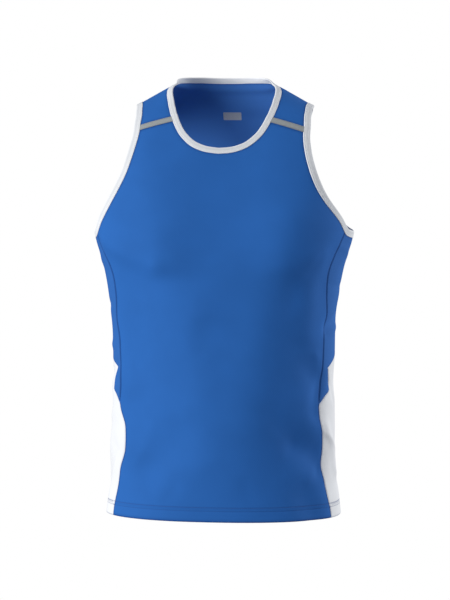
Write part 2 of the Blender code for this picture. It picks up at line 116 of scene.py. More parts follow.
class Figure:
    """The smooth figure that every piece lies on, the same on both sides of the body."""

    # One row for each horizontal section, from below the hem to the nape. The columns are height, half width,
    # depth of the front and of the back from the centre, the centre's place in Y, squareness.
    SECTIONS = np.array((
        (-0.6900, 0.1890, 0.1250, 0.1170, 0.000, 2.30),
        (-0.6650, 0.1863, 0.1245, 0.1160, 0.000, 2.30),
        (-0.6370, 0.1835, 0.1235, 0.1145, 0.000, 2.30),
        (-0.6110, 0.1803, 0.1225, 0.1130, 0.000, 2.30),
        (-0.5600, 0.1781, 0.1210, 0.1110, 0.000, 2.30),
        (-0.4960, 0.1759, 0.1200, 0.1080, 0.000, 2.30),
        (-0.4500, 0.1754, 0.1190, 0.1060, 0.000, 2.30),
        (-0.3810, 0.1763, 0.1190, 0.1040, 0.000, 2.30),
        (-0.3300, 0.1812, 0.1190, 0.1050, 0.000, 2.30),
        (-0.3040, 0.1848, 0.1190, 0.1070, 0.000, 2.30),
        (-0.2780, 0.1899, 0.1190, 0.1090, 0.000, 2.30),
        (-0.2530, 0.1971, 0.1185, 0.1115, 0.000, 2.30),
        (-0.2270, 0.2046, 0.1170, 0.1140, 0.000, 2.30),
        (-0.2050, 0.2069, 0.1145, 0.1155, 0.000, 2.30),
        (-0.1800, 0.2062, 0.1110, 0.1160, 0.000, 2.30),
        (-0.1300, 0.2026, 0.0980, 0.1130, 0.000, 2.30),
        (-0.0910, 0.1988, 0.0850, 0.1070, 0.000, 2.30),
        (-0.0600, 0.1900, 0.0760, 0.0980, 0.002, 2.25),
        (-0.0400, 0.1751, 0.0690, 0.0910, 0.004, 2.20),
        (-0.0250, 0.1540, 0.0630, 0.0850, 0.006, 2.20),
        (-0.0120, 0.1310, 0.0580, 0.0780, 0.007, 2.20),
        (+0.0000, 0.1100, 0.0540, 0.0720, 0.008, 2.20),
        (+0.0106, 0.0910, 0.0510, 0.0660, 0.009, 2.20),
        (+0.0160, 0.0800, 0.0490, 0.0620, 0.009, 2.20),
        (+0.0250, 0.0728, 0.0460, 0.0560, 0.010, 2.20),
        (+0.0360, 0.0655, 0.0430, 0.0510, 0.010, 2.20),
        (+0.0500, 0.0575, 0.0390, 0.0460, 0.010, 2.20),
    ))

    AROUND_STEP, HEIGHT_STEP = 2.0, 0.01  # of the grid on which the way round is measured
    NEAR = np.array(((0.05, 0), (0, 0.0002)))  # the steps around and up that tangents are read over

    def __init__(self) -> None:
        """Measures the way round the figure, for laying the cloth out flat."""
        self.around = np.arange(0.0, 181.0, self.AROUND_STEP)
        self.heights = np.arange(-0.70, 0.0501, self.HEIGHT_STEP)
        grid = np.array([(around, height) for height in self.heights for around in self.around])
        rings = self.points(grid).reshape(len(self.heights), len(self.around), 3)
        steps = np.linalg.norm(np.diff(rings, axis=1), axis=2)
        self.runs = np.concatenate((np.zeros((len(self.heights), 1)), np.cumsum(steps, axis=1)), axis=1)

    def points(self, places: Array) -> Array:
        """Points of the figure at the given places.

        Args:
            places: the places.

        Returns:
            The points.
        """
        around, height = np.radians(places[:, 0]), places[:, 1]
        shape = (through(self.SECTIONS[:, 0], column, height) for column in self.SECTIONS.T[1:])
        half_width, front, back, centre, squareness = shape
        sine, cosine = np.sin(around), np.cos(around)
        reach = (abs(sine) ** squareness + abs(cosine) ** squareness) ** (1 / squareness)
        depth = np.where(cosine > 0, front, back)
        return np.column_stack((half_width * sine / reach, centre - depth * cosine / reach, height))

    def tangents(self, places: Array) -> tuple[Array, Array]:
        """How a point of the figure moves for a degree around and for a metre up.

        Args:
            places: the places.

        Returns:
            Both ways, at each place.
        """
        return tuple(
            (self.points(places + step) - self.points(places - step)) / (2 * step.sum()) for step in self.NEAR
        )

    def normals(self, places: Array) -> Array:
        """Outward directions at the given places."""
        outward = np.cross(*self.tangents(places))
        return outward / np.linalg.norm(outward, axis=1, keepdims=True)

    def beside(self, line: Array, distance: float, closed: bool = False, steps: int = 4) -> Array:
        """A line moved sideways on the figure, to its left as it is walked and seen from outside.

        Args:
            line: the line.
            distance: how far it moves.
            closed: whether the line's end meets its start.
            steps: in how many steps it is walked there.

        Returns:
            The moved line.
        """
        points = self.points(line)
        if closed:
            ahead = np.roll(points, -1, axis=0) - np.roll(points, 1, axis=0)
        else:
            ahead = np.gradient(points, axis=0)
        left = np.cross(self.normals(line), ahead)
        left /= np.linalg.norm(left, axis=1, keepdims=True)
        for _ in range(steps):
            jacobian = np.stack(self.tangents(line), axis=2)
            line = line + (np.linalg.pinv(jacobian) @ left[:, :, None])[:, :, 0] * distance / steps
        return line

    def evenly(self, line: Array, spacing: float) -> Array:
        """Spaces a line's points evenly.

        Args:
            line: the line.
            spacing: about how far apart the points are to be.

        Returns:
            The line with its new points, ends included.
        """
        lengths = np.linalg.norm(np.diff(self.points(line), axis=0), axis=1)
        run = np.concatenate(([0], np.cumsum(lengths)))
        at = np.linspace(0, run[-1], max(1, round(run[-1] / spacing)) + 1)
        return np.column_stack((np.interp(at, run, line[:, 0]), np.interp(at, run, line[:, 1])))

    def laid_out(self, places: Array, middle: float = 0.0) -> Array:
        """Where places lie on the flat cloth.

        Args:
            places: the places.
            middle: the angle around of the line that runs straight up the middle of the flat piece.

        Returns:
            How far round from the middle line and how far up each one lies, in metres.
        """
        far = abs(places[:, 0]) > 180
        around = np.where(far, 360 - abs(places[:, 0]), abs(places[:, 0]))
        row = np.clip((places[:, 1] - self.heights[0]) / self.HEIGHT_STEP, 0, len(self.heights) - 1.001)
        low = row.astype(int)
        part = row - low

        def read(at: Array) -> Array:
            """Reads the way round, at each place's height.

            Args:
                at: the angle to which each one is read.

            Returns:
                The ways round.
            """
            column = np.clip(at / self.AROUND_STEP, 0, len(self.around) - 1.001)
            left = column.astype(int)
            across = column - left
            rows = [
                self.runs[level, left] * (1 - across) + self.runs[level, left + 1] * across
                for level in (low, low + 1)
            ]
            return rows[0] * (1 - part) + rows[1] * part

        run = np.where(far, 2 * read(np.full(len(around), 180.0)) - read(around), read(around))
        straight = read(np.full(len(around), abs(middle))) * np.sign(middle)
        slope = np.maximum(places[:, 1] + 0.04, 0) * 0.9  # the shoulders slope, so a step up is longer there
        return np.column_stack((run * np.sign(places[:, 0]) - straight, places[:, 1] + slope))


class Drape(Figure):
    """The cloth as it hangs on the figure, with its folds and creases."""

    # How the cloth hangs out of true: height, how far it has turned round the figure towards the wearer's
    # left, how far it has swayed in X, how much lower it hangs for each metre towards the wearer's left.
    HANG = np.array((
        (-0.6650, 4.0, -0.0037, 0.000),
        (-0.5950, 3.8, -0.0043, 0.000),
        (-0.5600, 7.1, -0.0053, 0.000),
        (-0.5250, 5.0, -0.0036, 0.000),
        (-0.4900, 1.0, -0.0031, 0.000),
        (-0.4580, 4.1, -0.0050, 0.000),
        (-0.4100, 2.5, -0.0027, 0.000),
        (-0.3500, 2.5, -0.0030, 0.000),
        (-0.2200, 0.7, -0.0029, 0.002),
        (-0.1700, 0.6, -0.0065, 0.006),
        (-0.1200, 1.1, -0.0048, 0.014),
        (-0.0600, 1.2, -0.0015, 0.022),
        (+0.0130, 1.5, -0.0005, 0.022),
        (+0.0290, 0.7, -0.0058, 0.022),
    ))

    # The largest folds, as soft ridges (+) and troughs (-): start around and height, end around and height,
    # half width, rise.
    FOLDS = np.array((
        # front
        (-26.0, -0.2400, -23.0, -0.2640, 0.0290, +0.0050),  # the right of the chest
        (-57.0, -0.2400, -30.0, -0.2740, 0.0185, +0.0045),
        (-36.0, -0.0870, -27.0, -0.1690, 0.0330, +0.0035),
        (9.0, -0.0940, 1.0, -0.2260, 0.0450, -0.0044),  # the hollow between
        (31.0, -0.2130, 31.5, -0.2690, 0.0345, +0.0085),  # the left of the chest
        (44.0, -0.1470, 44.0, -0.2390, 0.0430, +0.0055),
        (69.0, -0.2420, 55.0, -0.2970, 0.0360, -0.0032),  # sinks in below the left arm
        (47.0, -0.2700, 43.7, -0.4040, 0.0255, +0.0040),
        (42.0, -0.4050, 54.3, -0.4630, 0.0220, -0.0040),
        (59.0, -0.4560, 54.3, -0.5020, 0.0170, -0.0030),
        (23.5, -0.3520, 15.6, -0.5030, 0.0420, +0.0056),  # the left of the belly
        (-9.5, -0.3580, -8.4, -0.5710, 0.0330, +0.0036),
        (2.0, -0.4600, 6.4, -0.5900, 0.0400, +0.0034),
        (-44.0, -0.3200, -40.2, -0.5850, 0.0400, -0.0050),
        (-36.0, -0.5900, -24.0, -0.5360, 0.0240, -0.0027),  # drags up from the right hip
        (28.0, -0.5190, 49.0, -0.5520, 0.0215, -0.0034),  # drags towards the left hip
        (35.0, -0.5530, 53.5, -0.5810, 0.0200, -0.0069),
        (42.7, -0.6330, 46.3, -0.6550, 0.0230, -0.0047),
        # sides
        (62.0, -0.5300, 78.0, -0.5950, 0.013, +0.0030),
        (64.0, -0.3700, 92.0, -0.3450, 0.012, -0.0040),
        (-66.0, -0.4300, -94.0, -0.4550, 0.012, -0.0035),
        (-70.0, -0.5600, -88.0, -0.6500, 0.018, -0.0040),
        # back
        (158.0, -0.2000, 166.0, -0.3900, 0.028, -0.0075),
        (204.0, -0.2300, 197.0, -0.4700, 0.030, -0.0080),
        (181.0, -0.3300, 179.0, -0.5600, 0.024, +0.0050),
        (140.0, -0.3600, 150.0, -0.5200, 0.020, -0.0045),
        (219.0, -0.4300, 212.0, -0.6200, 0.022, +0.0045),
        (151.0, -0.5500, 143.0, -0.6500, 0.022, +0.0045),
    ))

    # The finer creases, which fade at both ends: start around and height, end around and height, how far the
    # middle bows out of the straight, half width, rise.
    CREASES = np.array((
        # front
        (-38.0, -0.2980, -4.0, -0.3060, +0.004, 0.0150, -0.0012),
        (-6.0, -0.3500, -10.0, -0.4200, +0.003, 0.0200, -0.0018),
        (-48.0, -0.5850, -34.0, -0.5100, +0.003, 0.0130, +0.0010),
        (50.0, -0.2500, 41.0, -0.2950, +0.005, 0.0110, -0.0012),
        (36.0, -0.2900, 33.0, -0.3600, +0.003, 0.0120, -0.0010),
        (54.0, -0.5900, 42.0, -0.6100, -0.003, 0.0090, +0.0012),
        (56.0, -0.4250, 50.0, -0.4050, -0.002, 0.0080, +0.0008),
        (-20.0, -0.5950, -28.0, -0.6400, +0.003, 0.0110, -0.0008),
        (12.0, -0.5900, 16.0, -0.6500, -0.003, 0.0120, -0.0008),
        (-50.0, -0.4200, -36.0, -0.4500, -0.004, 0.0100, -0.0007),
        # sides
        (58.0, -0.2450, 96.0, -0.2600, +0.004, 0.0070, +0.0012),
        (60.0, -0.3050, 104.0, -0.3000, -0.004, 0.0070, -0.0012),
        (62.0, -0.3850, 100.0, -0.3700, +0.004, 0.0060, +0.0016),
        (64.0, -0.4450, 88.0, -0.5100, +0.004, 0.0070, -0.0014),
        (55.0, -0.5280, 84.0, -0.5760, +0.001, 0.0062, +0.0020),
        (70.0, -0.5750, 100.0, -0.6300, +0.004, 0.0080, -0.0016),
        (-60.0, -0.2500, -98.0, -0.2700, +0.004, 0.0070, +0.0010),
        (-62.0, -0.3300, -104.0, -0.3500, -0.004, 0.0070, -0.0014),
        (-64.0, -0.4000, -92.0, -0.3900, +0.004, 0.0060, +0.0014),
        (-64.0, -0.5000, -96.0, -0.5300, -0.004, 0.0070, +0.0014),
        (-66.0, -0.6000, -98.0, -0.6350, +0.004, 0.0080, -0.0012),
        # back
        (128.0, -0.2200, 152.0, -0.2550, +0.005, 0.0100, -0.0018),
        (232.0, -0.2300, 206.0, -0.2700, -0.005, 0.0100, -0.0018),
        (124.0, -0.3300, 150.0, -0.3450, -0.006, 0.0080, +0.0014),
        (236.0, -0.3500, 208.0, -0.3700, +0.006, 0.0080, +0.0016),
        (170.0, -0.3600, 174.0, -0.5000, +0.005, 0.0090, -0.0013),
        (190.0, -0.3900, 187.0, -0.5600, -0.005, 0.0090, +0.0012),
        (130.0, -0.4800, 156.0, -0.5050, +0.005, 0.0090, +0.0014),
        (230.0, -0.5000, 204.0, -0.5350, -0.005, 0.0090, -0.0016),
        (164.0, -0.5600, 168.0, -0.6550, +0.003, 0.0100, +0.0012),
        (196.0, -0.5700, 199.0, -0.6550, -0.003, 0.0100, -0.0012),
    ))

    PER_DEGREE = 0.0029  # how far a degree around is when folds and cuts are laid out

    def run_along(self, places: Array, row: Array) -> tuple[Array, Array]:
        """How far along a fold each place is, unclipped, and how far to its side.

        Args:
            places: the places.
            row: the fold's start and end, as two pairs of around and height.

        Returns:
            The share of the fold's length, and the distance to its left.
        """
        apart = (places[:, 0] - row[0] + 180) % 360 - 180
        x, y = apart * self.PER_DEGREE, places[:, 1] - row[1]
        run_x, run_y = (row[2] - row[0]) * self.PER_DEGREE, row[3] - row[1]
        length = np.hypot(run_x, run_y)
        return (x * run_x + y * run_y) / length**2, (y * run_x - x * run_y) / length

    def rise(self, places: Array) -> Array:
        """How far the folds and creases lift or sink the cloth at each place.

        Args:
            places: the places.

        Returns:
            The rise at each place.
        """
        rise = np.zeros(len(places))
        for row in self.FOLDS:
            along, beside = self.run_along(places, row)
            length = np.hypot((row[2] - row[0]) * self.PER_DEGREE, row[3] - row[1])
            over = (along - np.clip(along, 0, 1)) * length
            rise += row[5] * bell(np.hypot(beside, over), row[4])
        for row in self.CREASES:
            along, beside = self.run_along(places, row)
            along = np.clip(along, 0, 1)
            fade = np.sin(np.pi * along)
            beside = beside - row[4] * 4 * along * (1 - along)
            rise += row[6] * fade * bell(beside, row[5] * (0.6 + 0.4 * fade))
        return rise

    def cloth(self, places: Array, lift: Array | float) -> Array:
        """Points at a lift above the figure's surface, as the cloth hangs.

        Args:
            places: the places.
            lift: one lift, or one for each place.

        Returns:
            The points.
        """
        twist, sway, drop = (through(self.HANG[:, 0], column, places[:, 1]) for column in self.HANG.T[1:])
        turned = np.column_stack((places[:, 0] + twist, places[:, 1]))
        points = self.points(turned) + self.normals(turned) * (self.rise(places) + lift)[:, None]
        points[:, 2] -= drop * points[:, 0]
        points[:, 0] += sway
        return points


def at_height(around: Array, height: float) -> Array:
    """A line at one height, with a point at each of the angles around."""
    return np.column_stack((around, np.full(len(around), height)))


class Lines:
    """The seams and edges that the pieces end on, on the wearer's left.

    Edges are walked with the cloth on their left, seen from outside: the neck from the centre back to the
    centre front, and the armhole from the underarm up its front and down its back.
    """

    SPACING = 0.0022
    CLEAR = 0.3  # a point nearer than this share of a step to the end of a cut line is left out

    # The neck opening's edge from the centre front to the centre back: around, height.
    NECK_EDGE = np.array((
        (0.0, -0.0925),
        (4.6, -0.0909),
        (10.3, -0.0845),
        (16.1, -0.0691),
        (19.5, -0.0548),
        (23.0, -0.0406),
        (28.0, -0.0263),
        (35.7, -0.0120),
        (47.9, +0.0022),
        (65.0, +0.0150),
        (90.0, +0.0258),
        (106.0, +0.0302),
        (130.0, +0.0343),
        (152.0, +0.0361),
        (180.0, +0.0363),
    ))

    # One armhole's edge, from the underarm up the front, over the shoulder and down the back: around, height.
    ARM_EDGE = np.array((
        (90.0, -0.2180),
        (74.8, -0.2171),
        (68.3, -0.2102),
        (63.1, -0.1984),
        (58.4, -0.1867),
        (54.0, -0.1740),
        (50.4, -0.1600),
        (47.8, -0.1460),
        (45.7, -0.1310),
        (44.2, -0.1150),
        (43.1, -0.0980),
        (42.7, -0.0800),
        (44.0, -0.0640),
        (47.0, -0.0490),
        (52.0, -0.0365),
        (61.9, -0.0255),
        (75.0, -0.0200),
        (90.0, -0.0180),
        (104.0, -0.0182),
        (118.0, -0.0236),
        (130.0, -0.0345),
        (137.0, -0.0510),
        (140.3, -0.0720),
        (141.5, -0.0930),
        (140.0, -0.1170),
        (136.0, -0.1440),
        (130.0, -0.1700),
        (122.0, -0.1930),
        (112.0, -0.2085),
        (101.0, -0.2150),
    ))

    # Where the front meets the side panel, from below the hem to above the underarm: height, around.
    SIDE_SEAM = np.array((
        (-0.6900, 61.5),
        (-0.6600, 61.8),
        (-0.6260, 59.5),
        (-0.5920, 58.0),
        (-0.5590, 56.5),
        (-0.5250, 56.1),
        (-0.4920, 58.8),
        (-0.4580, 59.9),
        (-0.3920, 60.7),
        (-0.3580, 63.2),
        (-0.3250, 61.1),
        (-0.2910, 60.2),
        (-0.2580, 62.9),
        (-0.2240, 68.0),
        (-0.1900, 74.8),
    ))

    # The forward shoulder seam, which the reflective strip covers: around, height, past both strap edges.
    SHOULDER_SEAM = np.array((
        (14.0, -0.0378),
        (26.0, -0.0488),
        (40.0, -0.0617),
        (54.0, -0.0746),
    ))

    # Where the side panel's upper and lower colours meet, from the front seam to the side: around, height.
    COLOUR_SPLIT = np.array((
        (50.0, -0.4985),
        (59.1, -0.4893),
        (65.3, -0.4760),
        (71.0, -0.4690),
        (67.4, -0.4335),
        (76.5, -0.4248),
        (90.0, -0.4165),
    ))

    def __init__(self, figure: Figure) -> None:
        """Works out every line.

        Args:
            figure: the figure that the lines lie on.
        """
        self.figure = figure
        around = np.arange(180.0, -0.5, -1.0)
        heights = through(self.NECK_EDGE[:, 0], self.NECK_EDGE[:, 1], around)
        self.neck = self.even(np.column_stack((around, heights)))
        self.neck_cut = figure.beside(self.neck, CUT.neck_binding + CUT.seam_gap)
        self.neck_cut[[0, -1], 0] = 180.0, 0.0
        self.arm = self.even(self.rounded(self.ARM_EDGE))
        arm_cut = figure.beside(self.arm[:-1], CUT.arm_binding + CUT.seam_gap, closed=True)
        self.arm_cut = np.vstack((arm_cut, arm_cut[:1]))

        height = np.arange(self.SIDE_SEAM[0, 0], self.SIDE_SEAM[-1, 0], self.SPACING)
        self.side = self.even(
            np.column_stack((through(self.SIDE_SEAM[:, 0], self.SIDE_SEAM[:, 1], height), height))
        )
        self.front_seam, self.side_front = self.pair(self.side)
        self.side_behind = self.side * (-1, 1) + (180, 0)
        self.side_back, self.back_seam = self.pair(self.side_behind)

        self.shoulder = self.divided(self.SHOULDER_SEAM)
        self.yoke_end, self.front_top = self.pair(self.shoulder)
        self.strip_top = figure.beside(self.shoulder, CUT.strip_width / 2)
        self.strip_bottom = figure.beside(self.shoulder, -CUT.strip_width / 2)

        self.split = self.divided(np.vstack((self.COLOUR_SPLIT, self.mirrored(self.COLOUR_SPLIT[:-1], 90))))
        self.upper_end, self.lower_end = self.pair(self.split)
        self.hem = self.even(at_height(np.arange(0.0, 181.0, 1.0), CUT.hem))

    def even(self, line: Array) -> Array:
        """The line with evenly spaced points."""
        return self.figure.evenly(line, self.SPACING)

    def pair(self, seam: Array) -> tuple[Array, Array]:
        """The two lines that the pieces on a seam's left and on its right end on."""
        return self.figure.beside(seam, CUT.seam_gap / 2), self.figure.beside(seam, -CUT.seam_gap / 2)

    def divided(self, knots: Array) -> Array:
        """A line of straight legs through a table's rows, each leg divided evenly."""
        legs = [self.even(np.linspace(start, end, 20)) for start, end in zip(knots, knots[1:])]
        return np.vstack((*(leg[:-1] for leg in legs), knots[-1:]))

    @staticmethod
    def rounded(knots: Array) -> Array:
        """Runs a smooth closed line through a table's rows.

        Args:
            knots: the table.

        Returns:
            The line, its first point repeated at its end.
        """
        part = np.arange(0, 1, 1 / 16)[:, None]
        before, after, beyond = (np.roll(knots, step, axis=0) for step in (1, -1, -2))
        legs = [
            b
            + part * (c - a) / 2
            + part**2 * (2 * a - 5 * b + 4 * c - d) / 2
            + part**3 * (3 * b - a - 3 * c + d) / 2
            for a, b, c, d in zip(before, knots, after, beyond)
        ]
        return np.vstack((*legs, knots[:1]))

    @staticmethod
    def mirrored(line: Array, about: float) -> Array:
        """The line walked the other way on the other side, mirrored about 0, 90 or 180 degrees."""
        return line[::-1] * (-1, 1) + (2 * about, 0)

    @staticmethod
    def crossing(line: Array, other: Array) -> tuple[float, Array]:
        """Where a line first crosses another.

        Args:
            line: the line.
            other: the line that it crosses.

        Returns:
            How far along the line, in points, and the place.
        """
        start, run = line[:-1, None], np.diff(line, axis=0)[:, None]
        other_start, other_run = other[None, :-1], np.diff(other, axis=0)[None]
        gap = other_start - start
        area = run[..., 0] * other_run[..., 1] - run[..., 1] * other_run[..., 0]
        area = np.where(area == 0, 1e-30, area)
        along = (gap[..., 0] * other_run[..., 1] - gap[..., 1] * other_run[..., 0]) / area
        across = (gap[..., 0] * run[..., 1] - gap[..., 1] * run[..., 0]) / area
        leg, other_leg = np.argwhere((along >= 0) & (along < 1) & (across >= 0) & (across <= 1))[0]
        return leg + along[leg, other_leg], line[leg] + along[leg, other_leg] * (line[leg + 1] - line[leg])

    def between(self, line: Array, first: Array | None = None, last: Array | None = None) -> Array:
        """The stretch of a line between two others that cross it.

        Args:
            line: the line.
            first: the line where the stretch starts, or none to start with the line itself.
            last: the line where it ends, or none to end with the line itself.

        Returns:
            The stretch.
        """
        start, start_place = self.crossing(line, first) if first is not None else (-1, line[:0])
        end, end_place = self.crossing(line, last) if last is not None else (len(line), line[:0])
        inner = line[int(np.ceil(start + self.CLEAR)) : int(np.floor(end - self.CLEAR)) + 1]
        return np.vstack((start_place, inner, end_place))

    @staticmethod
    def joined(*legs: Array) -> Array:
        """An outline from its legs, with a single point where two legs meet."""
        return np.vstack([leg[:-1] for leg in legs])

    def doubled(self, half: Array, about: float) -> Array:
        """A whole outline from one half of it, which starts and ends on the body's middle plane."""
        return np.vstack((half, self.mirrored(half, about)[1:-1]))

    def front(self) -> Array:
        """The front, from its seams to the hem.

        Returns:
            Its outline.
        """
        half = self.joined(
            self.between(self.hem, last=self.front_seam),
            self.between(self.front_seam, self.hem, self.arm_cut),
            self.between(self.arm_cut, self.front_seam, self.front_top),
            self.between(self.front_top[::-1], self.arm_cut, self.neck_cut),
            self.between(self.neck_cut, self.front_top),
        )
        return self.doubled(np.vstack((half, self.neck_cut[-1:])), 0)

    def back(self) -> Array:
        """The back with its yoke.

        Returns:
            Its outline.
        """
        half = self.joined(
            self.between(self.neck_cut, last=self.yoke_end),
            self.between(self.yoke_end, self.neck_cut, self.arm_cut),
            self.between(self.arm_cut, self.yoke_end, self.back_seam),
            self.between(self.back_seam[::-1], self.arm_cut, self.hem),
            self.between(self.hem, self.back_seam),
        )
        return self.doubled(np.vstack((half, self.hem[-1:])), 180)

    def side_upper(self) -> Array:
        """The side panel above the colour seam.

        Returns:
            Its outline.
        """
        underarm = (
            self.between(self.arm_cut, self.side_back),
            self.between(self.arm_cut, last=self.side_front)[1:],
        )
        return self.joined(
            np.vstack(underarm),
            self.between(self.side_front[::-1], self.arm_cut, self.upper_end),
            self.between(self.upper_end, self.side_front, self.side_back),
            self.between(self.side_back, self.upper_end, self.arm_cut),
        )

    def side_lower(self) -> Array:
        """The side panel below the colour seam.

        Returns:
            Its outline.
        """
        return self.joined(
            self.between(self.lower_end[::-1], self.side_back, self.side_front),
            self.between(self.side_front[::-1], self.lower_end, self.hem),
            self.between(self.hem, self.side_front, self.side_back),
            self.between(self.side_back, self.hem, self.lower_end),
        )

    def strip(self) -> Array:
        """The reflective strip, from the neck to the armhole.

        Returns:
            Its outline.
        """
        return self.joined(
            self.between(self.strip_top, self.neck_cut, self.arm_cut),
            self.between(self.arm_cut, self.strip_bottom, self.strip_top)[::-1],
            self.between(self.strip_bottom[::-1], self.arm_cut, self.neck_cut),
            self.between(self.neck_cut, self.strip_top, self.strip_bottom)[::-1],
        )


# Finishes


def linear(hex_colour: str) -> tuple[float, float, float, float]:
    """Turns an sRGB hex colour to a linear one.

    Args:
        hex_colour: the colour, as six digits.

    Returns:
        Red, green, blue and alpha.
    """
    parts = [int(hex_colour[i : i + 2], 16) / 255 for i in (0, 2, 4)]
    red, green, blue = (c / 12.92 if c <= 0.04045 else ((c + 0.055) / 1.055) ** 2.4 for c in parts)
    return red, green, blue, 1.0


RANGE = ("From Min", "From Max", "To Min", "To Max")
NOISE = (0.3, 0.7)  # the part of a noise's range that is used
IN_COLOUR = {"data_type": "RGBA"}
SMOOTH = {"interpolation_type": "SMOOTHSTEP"}


def feed(tree: bpy.types.NodeTree, node: bpy.types.Node, inputs: dict) -> None:
    """Sets or links the inputs of a node.

    Args:
        tree: the node tree.
        node: the node.
        inputs: for each input's name or number, the value it is set to or the output it is linked to.
    """
    for name, value in inputs.items():
        if isinstance(value, bpy.types.NodeSocket):
            tree.links.new(value, node.inputs[name])
        else:
            node.inputs[name].default_value = value


def add(
    tree: bpy.types.NodeTree, kind: str, settings: dict | None = None, inputs: dict | None = None
) -> bpy.types.Node:
    """Adds a node with its settings and links.

    Args:
        tree: the node tree.
        kind: the node's type, without its prefix.
        settings: the node's own properties.
        inputs: for each input's name or number, the value it is set to or the output it is linked to.

    Returns:
        The node.
    """
    node = tree.nodes.new("ShaderNode" + kind)
    for name, value in (settings or {}).items():
        setattr(node, name, value)
    feed(tree, node, inputs or {})
    return node


def started(name: str) -> tuple[bpy.types.Material, bpy.types.NodeTree, bpy.types.Node]:
    """Starts a material.

    Args:
        name: its name.

    Returns:
        The material, its node tree and its shader.
    """
    material = bpy.data.materials.new(name)
    material.use_nodes = True
    return material, material.node_tree, material.node_tree.nodes["Principled BSDF"]


class Pattern(Enum):
    """The ways that a cloth is knitted here."""

    MESH = "mesh"
    JERSEY = "jersey"


@dataclass(frozen=True)
class Knit:
    """A knitted polyester, dyed in the piece and heat set: matt, with a faint bloom at grazing angles.

    Its stitches are 0.8 to 1.1 mm wide, too fine to show, so the pattern is drawn about twice as coarse.
    """

    name: str
    colour: str  # sRGB, of the yarn in the light
    shade: str  # sRGB, between the stitches
    pattern: Pattern
    wale_mm: float  # from one column of stitches to the next, as drawn
    course_mm: float  # from one row of stitches to the next, as drawn
    relief_mm: float = 0.12
    roughness: float = 0.80  # fibres scatter light widely
    sheen: float = 0.03
    contrast: float = 0.22
    seam_shade: str = "0F2E6E"  # sRGB, down in a seam, where the cloth shades itself
    inside_painted_light: str = "437AC6"  # sRGB, of the inner face: painted light, paler than the dye, so that the inside looks lit

    EYELET = (0.16, 0.42)  # where the yarn starts to rise round an eyelet and is fully up, in cells
    LEG_EDGE = 0.22  # how far in from a stitch's edge its yarn is fully up, in cells
    PATCHES = 22.0  # dye patches for each metre
    PATCH_TONE = (0.97, 1.03)

    def height(self, tree: bpy.types.NodeTree) -> bpy.types.NodeSocket:
        """Draws the knitted pattern.

        Args:
            tree: the node tree.

        Returns:
            The pattern's height, from 0 between the stitches to 1 on the yarn.
        """
        cut = add(tree, "UVMap", {"uv_map": "cut"}).outputs["UV"]
        scale = (1000 / self.wale_mm, 1000 / self.course_mm, 1.0)
        if self.pattern is Pattern.MESH:
            # Eyelets in staggered rows: the cells of a square grid turned by an eighth of a turn.
            eighth = (0, 0, np.pi / 4)
            turned = add(tree, "Mapping", inputs={"Vector": cut, "Scale": scale, "Rotation": eighth})
            dots = add(
                tree,
                "TexVoronoi",
                {"voronoi_dimensions": "2D"},
                {"Vector": turned.outputs[0], "Scale": 1.0, "Randomness": 0.0},
            )
            spread = dict(zip(RANGE, self.EYELET), Value=dots.outputs["Distance"])
            return add(tree, "MapRange", SMOOTH, spread).outputs[0]
        # Columns of V-shaped stitches: rows that rise to both sides of each column's middle.
        stitches = add(tree, "Mapping", inputs={"Vector": cut, "Scale": scale})
        axes = add(tree, "SeparateXYZ", inputs={0: stitches.outputs[0]})
        side = add(tree, "Math", {"operation": "PINGPONG"}, {0: axes.outputs["X"], 1: 0.5}).outputs[0]
        row = add(tree, "Math", {"operation": "SUBTRACT"}, {0: axes.outputs["Y"], 1: side}).outputs[0]
        leg = add(tree, "Math", {"operation": "PINGPONG"}, {0: row, 1: 0.5}).outputs[0]
        edge = add(tree, "Math", {"operation": "MINIMUM"}, {0: side, 1: leg}).outputs[0]
        spread = dict(zip(RANGE, (0.0, self.LEG_EDGE)), Value=edge)
        return add(tree, "MapRange", SMOOTH, spread).outputs[0]

    def material(self) -> bpy.types.Material:
        """Makes the knit.

        Returns:
            Its material.
        """
        material, tree, shader = started(self.name)
        height = self.height(tree)
        share = {"To Min": 1 - self.contrast, "To Max": 1.0, "Value": height}
        yarn = add(tree, "MapRange", inputs=share).outputs[0]
        tones = {"Factor": yarn, 6: linear(self.shade), 7: linear(self.colour)}
        colour = add(tree, "Mix", IN_COLOUR, tones).outputs[2]
        # The dye takes a little unevenly, in patches of a few centimetres.
        place = add(tree, "TexCoord").outputs["Object"]
        patches = add(tree, "TexNoise", inputs={"Vector": place, "Scale": self.PATCHES, "Detail": 3.0})
        spread = dict(zip(RANGE, NOISE + self.PATCH_TONE), Value=patches.outputs[0])
        value = add(tree, "MapRange", inputs=spread).outputs[0]
        toned = add(tree, "HueSaturation", inputs={"Color": colour, "Value": value}).outputs[0]
        # Painted light pales the inner face, and painted shade darkens the cloth as far as its seam mark says.
        inside, seam = (
            add(tree, "Attribute", {"attribute_name": mark}).outputs["Fac"] for mark in ("inside", "seam")
        )
        faces = {"Factor": inside, 6: toned, 7: linear(self.inside_painted_light)}
        faced = add(tree, "Mix", IN_COLOUR, faces).outputs[2]
        shades = {"Factor": seam, 6: faced, 7: linear(self.seam_shade)}
        relief = {"Height": height, "Distance": self.relief_mm / 1000, "Strength": 0.5}
        feed(tree, shader, {
            "Base Color": add(tree, "Mix", IN_COLOUR, shades).outputs[2],
            "Normal": add(tree, "Bump", inputs=relief).outputs[0],
            "Roughness": self.roughness,
            "IOR": 1.5,
            "Specular IOR Level": 0.12,
            "Sheen Weight": self.sheen,
            "Sheen Roughness": 0.4,
            "Sheen Tint": linear("E8ECFF"),
        })
        return material


